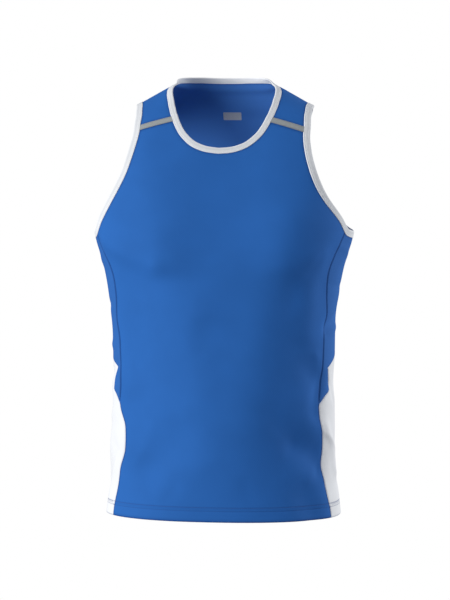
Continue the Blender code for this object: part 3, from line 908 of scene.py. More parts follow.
@dataclass(frozen=True)
class Grained:
    """A finish with a fine grain: thread, reflective tape or a printed block."""

    name: str
    colour: str
    dark: str
    grain_mm: float
    relief_mm: float
    roughness: float
    sheen: float = 0.0

    def material(self) -> bpy.types.Material:
        """Makes the finish.

        Returns:
            Its material.
        """
        material, tree, shader = started(self.name)
        place = add(tree, "TexCoord").outputs["Object"]
        grain = add(tree, "TexNoise", inputs={"Vector": place, "Scale": 1000 / self.grain_mm, "Detail": 2.0})
        share = add(tree, "MapRange", inputs=dict(zip(RANGE, NOISE), Value=grain.outputs[0])).outputs[0]
        tones = {"Factor": share, 6: linear(self.dark), 7: linear(self.colour)}
        relief = {"Height": share, "Distance": self.relief_mm / 1000, "Strength": 0.5}
        feed(tree, shader, {
            "Base Color": add(tree, "Mix", IN_COLOUR, tones).outputs[2],
            "Normal": add(tree, "Bump", inputs=relief).outputs[0],
            "Roughness": self.roughness,
            "Sheen Weight": self.sheen,
        })
        return material


@dataclass
class Finishes:
    """The materials of the vest."""

    # Eyelet mesh knit, dyed royal blue: tiny shaded holes in a matt ground.
    blue_mesh: Knit = Knit("blue_mesh_knit", "2C6AB8", "2259A5", Pattern.MESH, 2.0, 2.0)
    # Plain jersey in the same dye: columns of small stitches, a little paler because it is stretched.
    blue_jersey: Knit = Knit("blue_jersey_knit", "326CB8", "285BA6", Pattern.JERSEY, 1.8, 1.4)
    # Bleached jersey, darkened with grey-blue painted shade along its seams, needle rows and hem's edge.
    white_jersey: Knit = Knit(
        "white_jersey_knit", "F5F6F7", "E2E5E9", Pattern.JERSEY, 1.8, 1.4,
        seam_shade="5F6F92", inside_painted_light="F5F6F7",
    )
    # Bleached 1 by 1 rib with elastane: the ribs themselves are modelled, and painted shade greys the middle
    # of the bindings.
    white_rib: Knit = Knit(
        "white_rib_knit", "F6F7F7", "E0E3E6", Pattern.JERSEY, 1.3, 1.1, 0.08,
        seam_shade="8A929E", inside_painted_light="F6F7F7",
    )
    # Glass-bead tape: grey beads on a woven back, satin, with a grain of bead clusters.
    tape: Grained = Grained("bead_reflective_tape", "ACB0AF", "949897", 0.8, 0.05, 0.45, 0.2)
    # Spun polyester sewing thread: a twisted, slightly fuzzy yarn.
    blue_thread: Grained = Grained("blue_sewing_thread", "2C58A4", "1E3E7C", 0.4, 0.05, 0.7, 0.2)
    white_thread: Grained = Grained("white_sewing_thread", "ECEEF0", "C9CDD2", 0.4, 0.05, 0.7, 0.2)
    grey_thread: Grained = Grained("grey_sewing_thread", "8C9094", "6C7074", 0.4, 0.05, 0.7, 0.2)
    # Heat-pressed ink: smooth, rubbery, with the knit just showing through.
    ink: Grained = Grained("heat_pressed_ink", "C2C6C8", "B4B8BC", 1.2, 0.04, 0.55)
    made: dict[str, bpy.types.Material] = field(default_factory=dict)

    def __getitem__(self, name: str) -> bpy.types.Material:
        """The material of a finish, made once.

        Args:
            name: the finish's name.

        Returns:
            The material.
        """
        if name not in self.made:
            self.made[name] = getattr(self, name).material()
        return self.made[name]


# Meshes


def placed(
    name: str,
    points: Array,
    faces: list[tuple[int, ...]],
    material: bpy.types.Material,
    cut: Array | None = None,
    sharp: float = 50.0,
    marks: dict[str, Array] | None = None,
) -> bpy.types.Object:
    """A piece of the given points and faces, riding on the vest's one body.

    Args:
        name: the piece's name.
        points: its points.
        faces: its faces, as numbers of points.
        material: its material.
        cut: where each point lies on the flat cloth.
        sharp: edges that turn by more than this stay sharp.
        marks: the points' shares for the material: "seam" is how much painted shade darkens each one,
            "inside" is 1 on the cloth's inner face, where painted light pales the knit.

    Returns:
        The piece.
    """
    mesh = bpy.data.meshes.new(name)
    mesh.from_pydata(points.tolist(), [], faces)
    for mark, shares in (marks or {}).items():
        mesh.attributes.new(mark, "FLOAT", "POINT").data.foreach_set("value", shares.astype(np.float32))
    mesh.materials.append(material)
    if cut is not None:
        layer = mesh.uv_layers.new(name="cut")
        corners = np.zeros(len(mesh.loops), dtype=np.int32)
        mesh.loops.foreach_get("vertex_index", corners)
        layer.data.foreach_set("uv", cut[corners].astype(np.float32).ravel())
    mesh.shade_smooth()
    mesh.set_sharp_from_angle(angle=np.radians(sharp))
    piece = bpy.data.objects.new(name, mesh)
    bpy.context.scene.collection.objects.link(piece)
    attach(piece, "root")
    triangles = sum(len(face) - 2 for face in faces)
    log.info("%s: %d triangles", name, triangles)
    return piece


def quads(rows: int, columns: int, ring: bool, loop: bool) -> list[tuple[int, ...]]:
    """The faces between neighbouring rows of points.

    Args:
        rows: how many rows there are.
        columns: how many points each has.
        ring: whether the last row meets the first.
        loop: whether each row's end meets its start.

    Returns:
        The faces, as numbers of points.
    """
    return [
        (
            row * columns + column,
            row * columns + (column + 1) % columns,
            (row + 1) % rows * columns + (column + 1) % columns,
            (row + 1) % rows * columns + column,
        )
        for row in range(rows if ring else rows - 1)
        for column in range(columns if loop else columns - 1)
    ]


def finely(points: Array, step: float) -> Array:
    """Puts more points into a run of them.

    Args:
        points: the run's points.
        step: about how far apart they are to be.

    Returns:
        The run's new points, ends included.
    """
    run = np.concatenate(([0], np.cumsum(np.linalg.norm(np.diff(points, axis=0), axis=1))))
    at = np.linspace(0, run[-1], max(2, round(run[-1] / step) + 1))
    return np.column_stack([np.interp(at, run, column) for column in points.T])


def nearness(points: Array, targets: Array) -> Array:
    """How near each point is to some targets.

    Args:
        points: the points.
        targets: the targets.

    Returns:
        Each point's distance from the nearest target.
    """
    tree = KDTree(len(targets))
    for number, target in enumerate(targets):
        tree.insert(Vector((*target, 0.0)[:3]), number)
    tree.balance()
    return np.array([tree.find(Vector((*point, 0.0)[:3]))[2] for point in points])


def within(spots: Array, outline: Array) -> Array:
    """Tells which spots lie inside an outline.

    Args:
        spots: the spots.
        outline: the outline's corners, in order.

    Returns:
        Whether each spot lies inside.
    """
    start, end = outline, np.roll(outline, -1, axis=0)
    run = end - start
    height = np.where(run[:, 1] == 0, 1, run[:, 1])
    found = []
    # In parts of a few thousand, to save memory.
    for some in np.array_split(spots, max(1, len(spots) // 3000)):
        rising = (start[:, 1] > some[:, None, 1]) != (end[:, 1] > some[:, None, 1])
        at = start[:, 0] + (some[:, None, 1] - start[:, 1]) * run[:, 0] / height
        found.append((rising & (some[:, None, 0] < at)).sum(1) % 2 == 1)
    return np.concatenate(found)


SHOULDER_LEVEL = -0.0400
SHOULDER_STRETCH = 1.9  # a step in height is this much longer on the slope of the shoulders


def flat(places: Array) -> Array:
    """Places laid out flat for dividing into triangles."""
    above = np.maximum(places[:, 1] - SHOULDER_LEVEL, 0)
    return np.column_stack((places[:, 0] * Drape.PER_DEGREE, places[:, 1] + above * (SHOULDER_STRETCH - 1)))


def unflat(spots: Array) -> Array:
    """The places of spots that are laid out flat."""
    above = np.maximum(spots[:, 1] - SHOULDER_LEVEL, 0)
    return np.column_stack((spots[:, 0] / Drape.PER_DEGREE, spots[:, 1] - above * (1 - 1 / SHOULDER_STRETCH)))


@dataclass
class Panel:
    """A cut piece of knit, whose edges turn in at its seams and whose hem is turned up and stitched."""

    name: str
    node: str
    outline: Array
    seams: list[Array]
    bound: list[Array]
    finish: str
    slot: str
    base: float = CUT.wall - CUT.cloth
    thickness: float = CUT.cloth
    spacing: float = 0.0036
    seam_roll: float = 0.0010  # how deep the cloth turns in at a seam
    seam_width: float = 0.0013
    groove: float = 0.0004  # how deep the needle rows pull the cloth in
    seam_shade: float = 0.92  # how dark the cloth is down in a seam
    shade_width: float = 0.0016  # how far to each side of it
    row_shade: float = 0.30  # and along a needle row
    edge_shade: float = 0.75  # and round the hem's edge
    edge_width: float = 0.0022
    bound_shade: float = 0.55  # and right beside a binding or a tape
    middle: float = 0.0  # the angle around of the line up the middle of the flat piece
    size: tuple[float, float] = (0.0, 0.0)  # of the flat cut
    area: float = 0.0
    piece: bpy.types.Object | None = None

    SEAM_ROWS = (0.0005, 0.0010, 0.0017, 0.0027)
    BOUND_SINK, BOUND_REACH = 0.0003, 0.0015  # how deep and how far a binding's edge presses the cloth in
    BOUND_SHADE_REACH = 0.0022
    ROW_REACH = 0.0005  # how far a needle row shows to each side
    EDGE_ROUND, EDGE_REACH = 0.0005, 0.0006  # how much the hem's edge is rounded, and how far up
    TURN_SOFTNESS = 0.0002  # over how much height the turned-up layer ends
    RIM_STEP, BOUND_STEP = 0.0003, 0.0010  # how finely seams and bindings are followed
    ROW_CLEAR, GRID_CLEAR = 0.35, 0.5  # how far points stay from rows and from the rim, in spacings
    UNDERARM = -0.2200
    # Rows of points above the hem's edge: at the edge, both needle rows and the end of the turned-up layer.
    HEM_ROWS = np.array((
        *(0.0004, 0.0009, 0.0016, 0.0025),
        *(0.0158, 0.0163, 0.0168, 0.0173, 0.0178),
        *(0.0211, 0.0216, 0.0221, 0.0226, 0.0231),
        *(0.0240, 0.0245, 0.0252),
    ))

    def divide(self, drape: Drape) -> tuple[Array, list[tuple[int, ...]]]:
        """Divides the piece into triangles, finer along its seams and its hem.

        Args:
            drape: the cloth.

        Returns:
            The places of the points, the outline's first, and the triangles.
        """
        rim = flat(self.outline)
        low, high = rim.min(0), rim.max(0)
        rows = [
            drape.beside(line, side * row)
            for line in self.seams
            for row in self.SEAM_ROWS
            for side in (1, -1)
        ]
        if low[1] < CUT.hem + self.spacing:
            around = np.arange(low[0], high[0], self.spacing) / Drape.PER_DEGREE
            rows += [at_height(around, CUT.hem + row) for row in self.HEM_ROWS]
        lines = flat(np.vstack(rows)) if rows else rim[:0]
        step = self.spacing * np.sqrt(3) / 2
        columns, levels = np.meshgrid(
            np.arange(low[0], high[0], self.spacing), np.arange(low[1], high[1], step)
        )
        columns[1::2] += self.spacing / 2
        grid = np.column_stack((columns.ravel(), levels.ravel()))
        border = finely(np.vstack((rim, rim[:1])), self.RIM_STEP)
        lines = lines[within(lines, rim)]
        lines = lines[nearness(lines, border) > self.RIM_STEP]
        grid = grid[within(grid, rim)]
        grid = grid[nearness(grid, border) > self.spacing * self.GRID_CLEAR]
        if len(lines):
            grid = grid[nearness(grid, lines) > self.spacing * self.ROW_CLEAR]
        spots = np.vstack((rim, lines, grid))
        edges = [(number, (number + 1) % len(rim)) for number in range(len(rim))]
        made, _, faces, _, _, _ = delaunay_2d_cdt([Vector(spot) for spot in spots], edges, [], 1, 1e-9)
        if len(made) != len(spots):
            raise ValueError(f"the outline of {self.name} crosses itself")
        return unflat(spots), [tuple(face) for face in faces]

    def lifts(self, drape: Drape, places: Array) -> tuple[Array, Array, Array]:
        """The lift of the outer and of the inner face at each place, and how much painted shade darkens it.

        Args:
            drape: the cloth.
            places: the places.

        Returns:
            Both lifts, and the painted shade from 0 to 1.
        """
        points = drape.points(places)
        outer = np.full(len(places), self.base + self.thickness)
        thick = np.full(len(places), self.thickness)
        # The depth is painted shade: the cloth is darkened in its seams, beside bindings and tapes, along the
        # needle rows and round the hem's edge.
        depth = np.zeros(len(places))
        for line in self.seams:
            apart = nearness(points, finely(drape.points(line), self.RIM_STEP))
            outer -= self.seam_roll * bell(apart, self.seam_width)
            depth = np.maximum(depth, self.seam_shade * bell(apart, self.shade_width))
        for line in self.bound:
            apart = nearness(points, finely(drape.points(line), self.BOUND_STEP))
            outer -= self.BOUND_SINK * bell(apart, self.BOUND_REACH)
            depth = np.maximum(depth, self.bound_shade * bell(apart, self.BOUND_SHADE_REACH))
        above = places[:, 1] - CUT.hem
        if above.min() < self.spacing:
            turned_up = 1 / (1 + np.exp(np.clip((above - CUT.hem_depth) / self.TURN_SOFTNESS, -50, 50)))
            thick += self.thickness * turned_up
            for row in CUT.needle_rows:
                near = bell(above - row, self.ROW_REACH)
                outer -= self.groove * near
                thick -= self.groove * near
                depth = np.maximum(depth, self.row_shade * near)
            outer -= self.EDGE_ROUND * bell(above, self.EDGE_REACH)
            thick -= 2 * self.EDGE_ROUND * bell(above, self.EDGE_REACH)
            depth = np.maximum(depth, self.edge_shade * bell(above, self.edge_width))
        return outer, outer - thick, depth

    def build(self, drape: Drape, finishes: Finishes) -> bpy.types.Object:
        """Builds the piece, dresses it and measures its cut.

        Args:
            drape: the cloth.
            finishes: the materials.

        Returns:
            The piece.
        """
        places, outer = self.divide(drape)
        high, low, depth = self.lifts(drape, places)
        points = np.vstack((drape.cloth(places, high), drape.cloth(places, low)))
        under = len(places)
        inner = [tuple(number + under for number in reversed(face)) for face in outer]
        walked = {(face[i], face[(i + 1) % 3]) for face in outer for i in range(3)}
        count = len(self.outline)
        edges = [(number, (number + 1) % count) for number in range(count)]
        along = [(a, b) if (a, b) in walked else (b, a) for a, b in edges]
        rims = [(b, a, a + under, b + under) for a, b in along]
        cut = drape.laid_out(places, self.middle)
        piece = placed(
            self.name,
            points,
            outer + inner + rims,
            finishes[self.finish],
            np.vstack((cut, cut)),
            marks={
                # painted shade, at half strength on the inner face, and the inner face, which painted light
                # pales
                "seam": np.concatenate((depth, 0.5 * depth)),
                "inside": np.repeat((0.0, 1.0), under),
            },
        )
        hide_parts(self.node)
        corners = cut[np.array(outer)]
        first, second = corners[:, 1] - corners[:, 0], corners[:, 2] - corners[:, 0]
        self.area = abs(first[:, 0] * second[:, 1] - first[:, 1] * second[:, 0]).sum() / 2
        # A yoke's ends come forward over the shoulders, so the flat width is read below the underarm.
        body = places[:, 1] < self.UNDERARM
        across = cut[body, 0] if body.any() else cut[:, 0]
        self.size = (float(np.ptp(across)), float(np.ptp(cut[:, 1])))
        self.piece = piece
        return piece

    def declare(self, on_it: list[bpy.types.Object]) -> None:
        """States the piece's cut.

        Args:
            on_it: the pieces on it; not used.
        """
        width, length = (side * 1000 for side in self.size)
        log.info("%s: cut %.0f x %.0f mm, %.4f square metres", self.name, width, length, self.area)


@dataclass
class Binding:
    """A rib strip folded over a cut edge and stitched down, swept round an opening."""

    name: str
    node: str
    edge: Array  # the folded edge, closed, walked with the cloth on its left
    width: float
    rib: float = 0.0020  # from one rib to the next; the real 1 by 1 rib is about as wide
    relief: float = 0.00009  # how far a rib stands out
    rings: int = 4  # rings of points for each rib
    middle_grey: float = 0.22  # how much painted shade greys the rib along its middle, where it lies furthest in
    length: float = 0.0
    piece: bpy.types.Object | None = None

    # Half of the rib's section, from the fold to where it ends on the panel: share of the width, how far it
    # stands out of the panels' face, how far the ribs show.
    SECTION = np.array((
        (0.000, -0.00075, 0.0),
        (0.020, -0.00010, 0.3),
        (0.060, +0.00045, 0.8),
        (0.130, +0.00080, 1.0),
        (0.230, +0.00070, 1.0),
        (0.400, +0.00062, 1.0),
        (0.600, +0.00062, 1.0),
        (0.740, +0.00062, 1.0),
        (0.810, +0.00030, 0.6),
        (0.870, +0.00062, 0.9),
        (0.950, +0.00060, 0.6),
        (1.000, -0.00010, 0.0),
    ))
    STITCHED_AT = 0.81  # share of the width at which it is stitched down, where its section dips
    GREY_AT, GREY_WIDTH = 0.42, 0.22  # shares of the width between which the painted shade greys it

    @property
    def reach(self) -> float:
        """The width that shows, from the fold to the edge that lies on the panels."""
        return self.width + CUT.overlap

    def build(self, drape: Drape, finishes: Finishes) -> bpy.types.Object:
        """Builds the rib, dresses it and measures its length.

        Args:
            drape: the cloth.
            finishes: the materials.

        Returns:
            The rib.
        """
        loop = drape.evenly(self.edge, self.rib / self.rings)[:-1]
        length = np.linalg.norm(np.diff(drape.points(np.vstack((loop, loop[:1]))), axis=0), axis=1).sum()
        ribs = max(1, round(len(loop) / self.rings))
        wave = self.relief * np.cos(2 * np.pi * ribs * np.arange(len(loop)) / len(loop))
        ahead = np.arange(len(loop)) * length / len(loop)
        rings, cuts, painted_shades = [], [], []
        lines = [drape.beside(loop, share * self.reach, closed=True) for share in self.SECTION[:, 0]]
        for line, (share, proud, ribbed) in zip(lines, self.SECTION):
            rings.append(drape.cloth(line, CUT.wall + proud + wave * ribbed))
            cuts.append(at_height(ahead, share * self.reach))
            # Painted shade greys the outer face along its middle; the inner face has none.
            painted_shades.append(np.full(len(loop), self.middle_grey * bell(share - self.GREY_AT, self.GREY_WIDTH)))
        for line, (share, proud, ribbed) in reversed(list(zip(lines, self.SECTION))[1:]):
            rings.append(drape.cloth(line, CUT.wall - CUT.cloth - proud - wave * ribbed))
            cuts.append(at_height(ahead, -share * self.reach))
            painted_shades.append(np.zeros(len(loop)))
        piece = placed(
            self.name,
            np.vstack(rings),
            quads(len(rings), len(loop), ring=True, loop=True),
            finishes["white_rib"],
            np.vstack(cuts),
            80.0,
            {"seam": np.concatenate(painted_shades)},
        )
        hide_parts(self.node)
        self.piece, self.length = piece, length
        return piece

    def declare(self, on_it: list[bpy.types.Object]) -> None:
        """States what shows of the rib all round.

        Args:
            on_it: the pieces on it; not used.
        """
        self.reach
        log.info("%s: shows %.1f x %.0f mm", self.name, self.reach * 1000, self.length * 1000)


@dataclass
class Stitching:
    """Machine stitches, joined as one piece: rounded lengths of thread whose ends sink into the cloth."""

    name: str
    finish: str
    slot: str
    thread: float = 0.00022  # half the thread's thickness
    pitch: float = 0.0031  # from one stitch to the next
    gap: float = 0.0005  # between two stitches
    starts: list[Array] = field(default_factory=list)
    ends: list[Array] = field(default_factory=list)
    upward: list[Array] = field(default_factory=list)

    # The rings of one stitch: share of its length, share of its thickness, how many thicknesses it stands up.
    RINGS = np.array((
        (0.00, 0.30, -1.3),
        (0.13, 0.85, -0.1),
        (0.50, 1.00, +0.2),
        (0.87, 0.85, -0.1),
        (1.00, 0.30, -1.3),
    ))
    SIDES = 6

    def row(self, drape: Drape, line: Array, lift: float) -> None:
        """Sews a row of stitches.

        Args:
            drape: the cloth.
            line: where the row runs.
            lift: how high its stitches lie.
        """
        places = drape.evenly(line, self.pitch)
        run = np.diff(places, axis=0)
        inset = self.gap / self.pitch / 2
        self.add_stitches(drape, places[:-1] + run * inset, places[1:] - run * inset, lift)

    def zigzag(self, drape: Drape, line: Array, other: Array, lift: float) -> None:
        """Sews to and fro between two lines.

        Args:
            drape: the cloth.
            line: the line that the first stitch starts on.
            other: the line that it ends on.
            lift: how high the stitches lie.
        """
        near = drape.evenly(line, self.pitch)
        far = drape.evenly(other, self.pitch)
        count = min(len(near), len(far))
        near, far = near[:count], far[:count]
        self.add_stitches(drape, near[:-1], far[:-1], lift)
        self.add_stitches(drape, far[:-1], near[1:], lift)

    def add_stitches(self, drape: Drape, starts: Array, ends: Array, lift: float) -> None:
        """Keeps the ends of some stitches until they are built.

        Args:
            drape: the cloth.
            starts: where each stitch starts.
            ends: where each stitch ends.
            lift: how high they lie.
        """
        self.starts.append(drape.cloth(starts, lift))
        self.ends.append(drape.cloth(ends, lift))
        self.upward.append(drape.normals((starts + ends) / 2) * np.sign(lift))

    def build(self, finishes: Finishes) -> bpy.types.Object:
        """Builds every stitch and dresses them.

        Args:
            finishes: the materials.

        Returns:
            The stitches.
        """
        start, end, up = (np.vstack(parts)[:, None, None] for parts in (self.starts, self.ends, self.upward))
        run = end - start
        run_way = run / np.linalg.norm(run, axis=3, keepdims=True)
        across = np.cross(run_way, up)
        share, thick, proud = (column[None, :, None, None] for column in self.RINGS.T)
        turn = np.linspace(0, 2 * np.pi, self.SIDES, endpoint=False)[None, None, :, None]
        middle = start + run * share + up * proud * self.thread
        points = middle + (across * np.cos(turn) + up * np.sin(turn)) * thick * self.thread
        count, rings = len(points), len(self.RINGS)
        each = rings * self.SIDES
        pattern = quads(rings, self.SIDES, ring=False, loop=True)
        caps = (tuple(range(self.SIDES))[::-1], tuple(range(each - self.SIDES, each)))
        faces = [
            tuple(number + stitch * each for number in face)
            for shapes in (pattern, caps)
            for stitch in range(count)
            for face in shapes
        ]
        return placed(self.name, points.reshape(-1, 3), faces, finishes[self.finish])


@dataclass
class SeamAllowance:
    """The neatened edges of a seam, pressed to one side on the inside."""

    name: str
    finish: str
    slot: str
    line: Array
    towards: float  # 1 to lie on the seam's left, -1 on its right
    width: float = 0.0065
    inner: float = CUT.wall - CUT.cloth  # lift of the panels' inner face

    # Its section: share of the width, how far it stands into the vest.
    SECTION = np.array((
        (0.00, -0.0002),
        (0.00, +0.0006),
        (0.15, +0.0009),
        (0.85, +0.0008),
        (0.97, +0.0005),
        (1.00, +0.0001),
        (0.97, -0.0001),
    ))
    STEP = 0.004  # from one row of points to the next

    def build(self, drape: Drape, finishes: Finishes) -> bpy.types.Object:
        """Builds the allowance and dresses it.

        Args:
            drape: the cloth.
            finishes: the materials.

        Returns:
            The allowance.
        """
        line = drape.evenly(self.line, self.STEP)
        rows = [
            drape.cloth(drape.beside(line, self.towards * share * self.width), self.inner - depth)
            for share, depth in self.SECTION
        ]
        count, sides = len(line), len(rows)
        faces = quads(sides, count, ring=True, loop=False)
        start = tuple(side * count for side in range(sides))
        faces += [start, tuple(number + count - 1 for number in start)[::-1]]
        if self.towards > 0:
            faces = [face[::-1] for face in faces]
        ahead = np.arange(count) * self.STEP
        flat_cut = np.vstack([at_height(ahead, share * self.width) for share in self.SECTION[:, 0]])
        return placed(self.name, np.vstack(rows), faces, finishes[self.finish], flat_cut)


@dataclass
class PressedBlock:
    """A plain rounded block of ink, pressed on the inside of the back below the neck."""

    around: float = 178.4
    height: float = -0.0228
    width: float = 0.0300
    depth: float = 0.0130
    corner: float = 0.0012
    thick: float = 0.00014
    step: float = 0.0010

    def build(self, drape: Drape, finishes: Finishes) -> bpy.types.Object:
        """Builds the block and dresses it.

        Args:
            drape: the cloth.
            finishes: the materials.

        Returns:
            The block.
        """
        _, metre = drape.tangents(np.array(((self.around, self.height),)))
        across = np.linspace(-0.5, 0.5, round(self.width / self.step) + 1) * self.width
        up = np.linspace(-0.5, 0.5, round(self.depth / self.step) + 1) * self.depth
        x, y = np.meshgrid(across, up)
        # The outermost points draw in at the corners.
        over_x = np.maximum(abs(x) - self.width / 2 + self.corner, 0)
        over_y = np.maximum(abs(y) - self.depth / 2 + self.corner, 0)
        pull = np.maximum(np.hypot(over_x, over_y) - self.corner, 0) / np.sqrt(2)
        x, y = x - np.sign(x) * pull, y - np.sign(y) * pull
        height = self.height + y.ravel() / np.linalg.norm(metre)
        degree, _ = drape.tangents(np.column_stack((np.full(len(height), self.around), height)))
        places = np.column_stack((self.around + x.ravel() / np.linalg.norm(degree, axis=1), height))
        inner = CUT.wall - CUT.cloth
        points = np.vstack((drape.cloth(places, inner + 0.0001), drape.cloth(places, inner - self.thick)))
        rows, columns = x.shape
        under = rows * columns
        outer = quads(rows, columns, ring=False, loop=False)
        rim = list(range(columns)) + [r * columns + columns - 1 for r in range(1, rows)]
        rim += [under - 1 - c for c in range(1, columns)] + [r * columns for r in range(rows - 2, 0, -1)]
        sides = [(b, a, a + under, b + under) for a, b in zip(rim, rim[1:] + rim[:1])]
        faces = outer + [tuple(number + under for number in face[::-1]) for face in outer] + sides
        return placed("pressed_block", points, faces, finishes["ink"])


# Lights, floor and camera


@dataclass
class Studio:
    """A pale plain studio with a camera at the photograph's viewing angle."""

    azimuth: float = 7.5  # the camera stands this far round towards the wearer's left
    distance: float = 2.3
    pixel: float = 0.0016  # what a pixel of the photograph spans at the origin's distance
    centre_x: float = 225.5  # the origin's pixel column
    eye_level: float = -0.328
    frame: tuple[int, int] = (450, 600)
    sensor: float = 36.0
    floor_level: float = -1.45  # as far below the shoulders as the ground is
    floor_radius: float = 2.8

    FADES_FROM = 0.62  # share of the floor's radius

    def camera(self) -> None:
        """Places the camera."""
        turn = np.radians(self.azimuth)
        ahead = np.array((-np.sin(turn), np.cos(turn), 0))
        right = np.array((np.cos(turn), np.sin(turn), 0))
        shown = bpy.data.cameras.new("camera")
        shown.sensor_width = self.sensor
        shown.lens = self.sensor * self.distance / (self.frame[1] * self.pixel)
        camera = bpy.data.objects.new("camera", shown)
        offset = (self.frame[0] / 2 - self.centre_x) * self.pixel
        camera.location = -ahead * self.distance + right * offset + np.array((0, 0, self.eye_level))
        camera.rotation_euler = (np.radians(90), 0, turn)
        bpy.context.scene.collection.objects.link(camera)
        bpy.context.scene.camera = camera

    def floor(self) -> None:
        """Lays a matt white floor."""
        sides = 96
        angles = np.linspace(0, 2 * np.pi, sides, endpoint=False)
        rim = self.floor_radius * np.column_stack((np.cos(angles), np.sin(angles)))
        mesh = bpy.data.meshes.new("floor")
        mesh.from_pydata([(x, y, self.floor_level) for x, y in rim], [], [tuple(range(sides))])
        paint, tree, shader = started("matt_floor_paint")
        feed(tree, shader, {"Base Color": linear("FAFAFA"), "Roughness": 0.9})
        # The floor runs out softly into the white all round it.
        place = add(tree, "TexCoord").outputs["Object"]
        apart = add(tree, "VectorMath", {"operation": "LENGTH"}, {0: place}).outputs["Value"]
        faded = dict(zip(RANGE, (self.floor_radius * self.FADES_FROM, self.floor_radius)), Value=apart)
        share = add(tree, "MapRange", {"interpolation_type": "SMOOTHERSTEP"}, faded).outputs[0]
        clear = add(tree, "BsdfTransparent").outputs[0]
        mixed = add(tree, "MixShader", inputs={0: share, 1: shader.outputs[0], 2: clear}).outputs[0]
        tree.links.new(mixed, tree.nodes["Material Output"].inputs["Surface"])
        mesh.materials.append(paint)
        floor = bpy.data.objects.new("floor", mesh)
        bpy.context.scene.collection.objects.link(floor)
        floor.visible_diffuse = False  # the photograph's studio throws no light up from below

    def lamp(self, name: str, strength: float, azimuth: float, elevation: float, angle: float) -> None:
        """Adds a far, large soft lamp that shines towards the vest.

        Args:
            name: the lamp's name.
            strength: its strength.
            azimuth: where it stands, round from the camera towards its right.
            elevation: how high it stands.
            angle: how large it looks from the vest.
        """
        lamp = bpy.data.lights.new(name, "SUN")
        lamp.energy = strength
        lamp.angle = np.radians(angle)
        thing = bpy.data.objects.new(name, lamp)
        turn, rise = np.radians(self.azimuth + azimuth), np.radians(elevation)
        way = Vector((np.sin(turn) * np.cos(rise), -np.cos(turn) * np.cos(rise), np.sin(rise)))
        thing.location = Vector((0, 0, self.eye_level)) + way * self.distance
        thing.rotation_euler = way.to_track_quat("Z", "Y").to_euler()
        bpy.context.scene.collection.objects.link(thing)

    def light(self) -> None:
        """Lights the studio softly from the left, with white all round."""
        world = bpy.data.worlds.new("studio")
        bpy.context.scene.world = world
        world.use_nodes = True
        tree = world.node_tree
        tree.nodes.clear()
        seen = add(tree, "Background", inputs={"Color": linear("FFFFFF"), "Strength": 1.0})
        fill = add(tree, "Background", inputs={"Color": linear("E4ECFF"), "Strength": 0.20})
        path = add(tree, "LightPath")
        mixed = add(
            tree,
            "MixShader",
            inputs={0: path.outputs["Is Camera Ray"], 1: fill.outputs[0], 2: seen.outputs[0]},
        )
        add(tree, "OutputWorld", inputs={"Surface": mixed.outputs[0]})
        self.lamp("key", 3.05, azimuth=-60.0, elevation=12.0, angle=44.0)
        self.lamp("side", 2.35, azimuth=100.0, elevation=12.0, angle=50.0)
        bpy.context.scene.view_settings.view_transform = "Standard"

    def build(self) -> None:
        """Sets up the whole studio."""
        self.camera()
        self.floor()
        self.light()


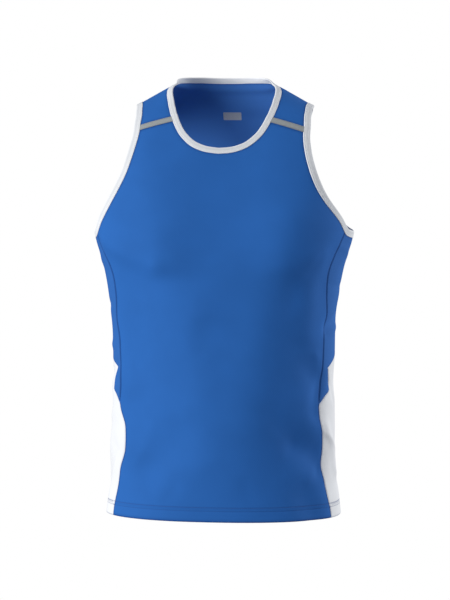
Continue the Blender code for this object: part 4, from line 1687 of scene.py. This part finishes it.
@dataclass
class Vest:
    """The whole vest: what is cut, what binds its edges and how it is sewn."""

    drape: Drape
    lines: Lines
    finishes: Finishes
    cut_pieces: dict[str, Panel | Binding] = field(default_factory=dict)
    on_pieces: dict[str, list[bpy.types.Object]] = field(default_factory=dict)

    SIDES = (("left", (1, 1)), ("right", (-1, 1)))
    PROUD = 0.00045  # how far the bindings' stitches lie outside the panels' faces
    TAPE_GAP = 0.0001  # below a tape, and between it and its stitches
    TAPE_INSET = 0.0010  # from a tape's edge to its stitches
    HEM_SUNK = 0.0003  # how far the hem's stitches sink below the panels' face
    OVERLOCK_LIFT, COVER_LIFT = -0.0002, -0.0004  # of the threads inside
    OVERLOCK = (0.0025, 0.0063)  # where an overlock runs, beside its seam

    def add_cut(self, part: Panel | Binding) -> None:
        """Builds a cut piece and keeps it for its stitches.

        Args:
            part: the piece.
        """
        part.build(self.drape, self.finishes)
        self.cut_pieces[part.name] = part
        self.on_pieces[part.name] = []

    def add_on(self, name: str, piece: bpy.types.Object) -> None:
        """Keeps a piece that goes with the cut piece of the given name."""
        self.on_pieces[name].append(piece)

    def front_and_back(self) -> None:
        """Builds the front, and the back with its yoke."""
        lines = self.lines
        for name, outline, middle, side in (
            ("front", lines.front(), 0, lines.side),
            ("back", lines.back(), 180, lines.side_behind),
        ):
            seams = [
                line for seam in (side, lines.shoulder) for line in (seam, lines.mirrored(seam, middle))
            ]
            bound = [lines.neck_cut, lines.arm_cut]
            bound += [lines.strip_top, lines.strip_bottom]
            bound += [lines.mirrored(line, middle) for line in bound]
            cloth = Panel(f"{name}_cloth", f"{name}_panel", outline, seams, bound, "blue_mesh", "blue_mesh")
            cloth.middle = middle
            self.add_cut(cloth)

    def sides(self) -> None:
        """Builds the side panels, blue above and white below."""
        lines = self.lines
        for side, flip in self.SIDES:
            seams = [line * flip for line in (lines.side, lines.side_behind, lines.split)]
            upper = Panel(
                f"side_upper_cloth_{side}",
                f"side_upper_{side}",
                lines.side_upper() * flip,
                seams,
                [lines.arm_cut * flip],
                "blue_jersey",
                "blue_side",
                middle=90.0 * flip[0],
            )
            lower = Panel(
                f"side_lower_cloth_{side}",
                f"side_lower_{side}",
                lines.side_lower() * flip,
                seams,
                [],
                "white_jersey",
                "white_side",
                # Painted shade on the white cloth: faint in its seams, strong along its needle rows and round
                # the hem's edge.
                seam_shade=0.12,
                row_shade=0.80,
                edge_shade=0.60,
                edge_width=0.0010,
                middle=90.0 * flip[0],
            )
            self.add_cut(upper)
            self.add_cut(lower)

    def bindings(self) -> None:
        """Binds the neck and both armholes."""
        lines = self.lines
        neck = np.vstack((lines.neck[:-1], lines.mirrored(lines.neck, 0)))
        self.add_cut(Binding("neck_rib", "neck_binding", neck, CUT.neck_binding))
        for side, flip in self.SIDES:
            arm = lines.arm if side == "left" else lines.arm[::-1] * flip
            self.add_cut(Binding(f"armhole_rib_{side}", f"armhole_binding_{side}", arm, CUT.arm_binding))

    def tapes(self) -> None:
        """Lays the reflective tapes on the forward shoulder seams and stitches both their edges."""
        lines = self.lines
        for side, flip in self.SIDES:
            tape = Panel(
                f"shoulder_tape_{side}",
                f"shoulder_strip_{side}",
                lines.strip() * flip,
                [],
                [],
                "tape",
                "reflective_grey",
                base=CUT.wall + self.TAPE_GAP,
                thickness=CUT.strip_thick - self.TAPE_GAP,
                spacing=0.002,
            )
            self.add_on("front_cloth", tape.build(self.drape, self.finishes))
            stitches = Stitching(f"tape_stitches_{side}", "grey_thread", "reflective_grey", pitch=0.0026)
            for line, inward in ((lines.strip_top, -self.TAPE_INSET), (lines.strip_bottom, self.TAPE_INSET)):
                run = self.drape.beside(line, inward)
                run = lines.between(run, lines.neck_cut, lines.arm_cut)
                stitches.row(self.drape, run * flip, CUT.wall + CUT.strip_thick + self.TAPE_GAP)
            self.add_on("front_cloth", stitches.build(self.finishes))

    def edge_stitches(self) -> None:
        """Stitches the bindings down, a little inside their edges."""
        for name, rib in list(self.cut_pieces.items()):
            if isinstance(rib, Binding):
                line = self.drape.beside(rib.edge, rib.reach * rib.STITCHED_AT, closed=True)
                stitches = Stitching(name.replace("rib", "stitches"), "white_thread", "white_rib")
                stitches.row(self.drape, line, CUT.wall + self.PROUD)
                stitches.row(self.drape, line, CUT.wall - CUT.cloth - self.PROUD)
                self.add_on(name, stitches.build(self.finishes))

    def hem_stitches(self) -> None:
        """Sews the hem down all round, with two needle rows outside and a zigzag between them inside."""
        around = np.arange(-180.0, 180.5, 1.0)
        rows = [at_height(around, CUT.hem + row) for row in CUT.needle_rows]
        stitches = Stitching("hem_stitches", "blue_thread", "blue_side")
        for row in rows:
            stitches.row(self.drape, row, CUT.wall - self.HEM_SUNK)
        self.add_on("front_cloth", stitches.build(self.finishes))
        inside = Stitching("hem_cover_stitches", "blue_thread", "blue_side")
        inside.zigzag(self.drape, *rows, self.COVER_LIFT)
        self.add_on("front_cloth", inside.build(self.finishes))

    def seam_allowances(self) -> None:
        """Lays the neatened seam allowances inside, sewn over with a zigzag."""
        lines, drape = self.lines, self.drape
        jersey, mesh = ("blue_jersey", "blue_side"), ("blue_mesh", "blue_mesh")
        runs = (
            ("front_seam", (lines.side, lines.hem, lines.arm_cut), -1, jersey),
            ("back_seam", (lines.side_behind, lines.hem, lines.arm_cut), 1, jersey),
            ("shoulder_seam", (lines.shoulder, lines.neck_cut, lines.arm_cut), 1, mesh),
            ("colour_seam", (lines.split, lines.side_front, lines.side_back), 1, jersey),
        )
        for side, flip in self.SIDES:
            for name, ends, towards, (finish, slot) in runs:
                line = lines.between(*ends) * flip
                towards = towards * flip[0]
                allowance = SeamAllowance(f"{name}_allowance_{side}", finish, slot, line, towards)
                self.add_on(f"side_upper_cloth_{side}", allowance.build(drape, self.finishes))
                stitches = Stitching(f"{name}_overlock_{side}", "blue_thread", "blue_side")
                near, far = (drape.beside(line, towards * apart) for apart in self.OVERLOCK)
                stitches.zigzag(drape, near, far, self.OVERLOCK_LIFT)
                self.add_on(f"side_upper_cloth_{side}", stitches.build(self.finishes))

    def build(self) -> None:
        """Builds the vest and declares its cloth."""
        self.front_and_back()
        self.sides()
        self.bindings()
        self.tapes()
        self.edge_stitches()
        self.hem_stitches()
        self.seam_allowances()
        self.add_on("back_cloth", PressedBlock().build(self.drape, self.finishes))
        for name, part in self.cut_pieces.items():
            part.declare(self.on_pieces[name])


def main() -> None:
    """Builds the vest and the studio."""
    logging.basicConfig(level=logging.INFO, format="%(message)s")
    drape = Drape()
    Vest(drape, Lines(drape), Finishes()).build()
    Studio().build()


if __name__ == "__main__":
    main()
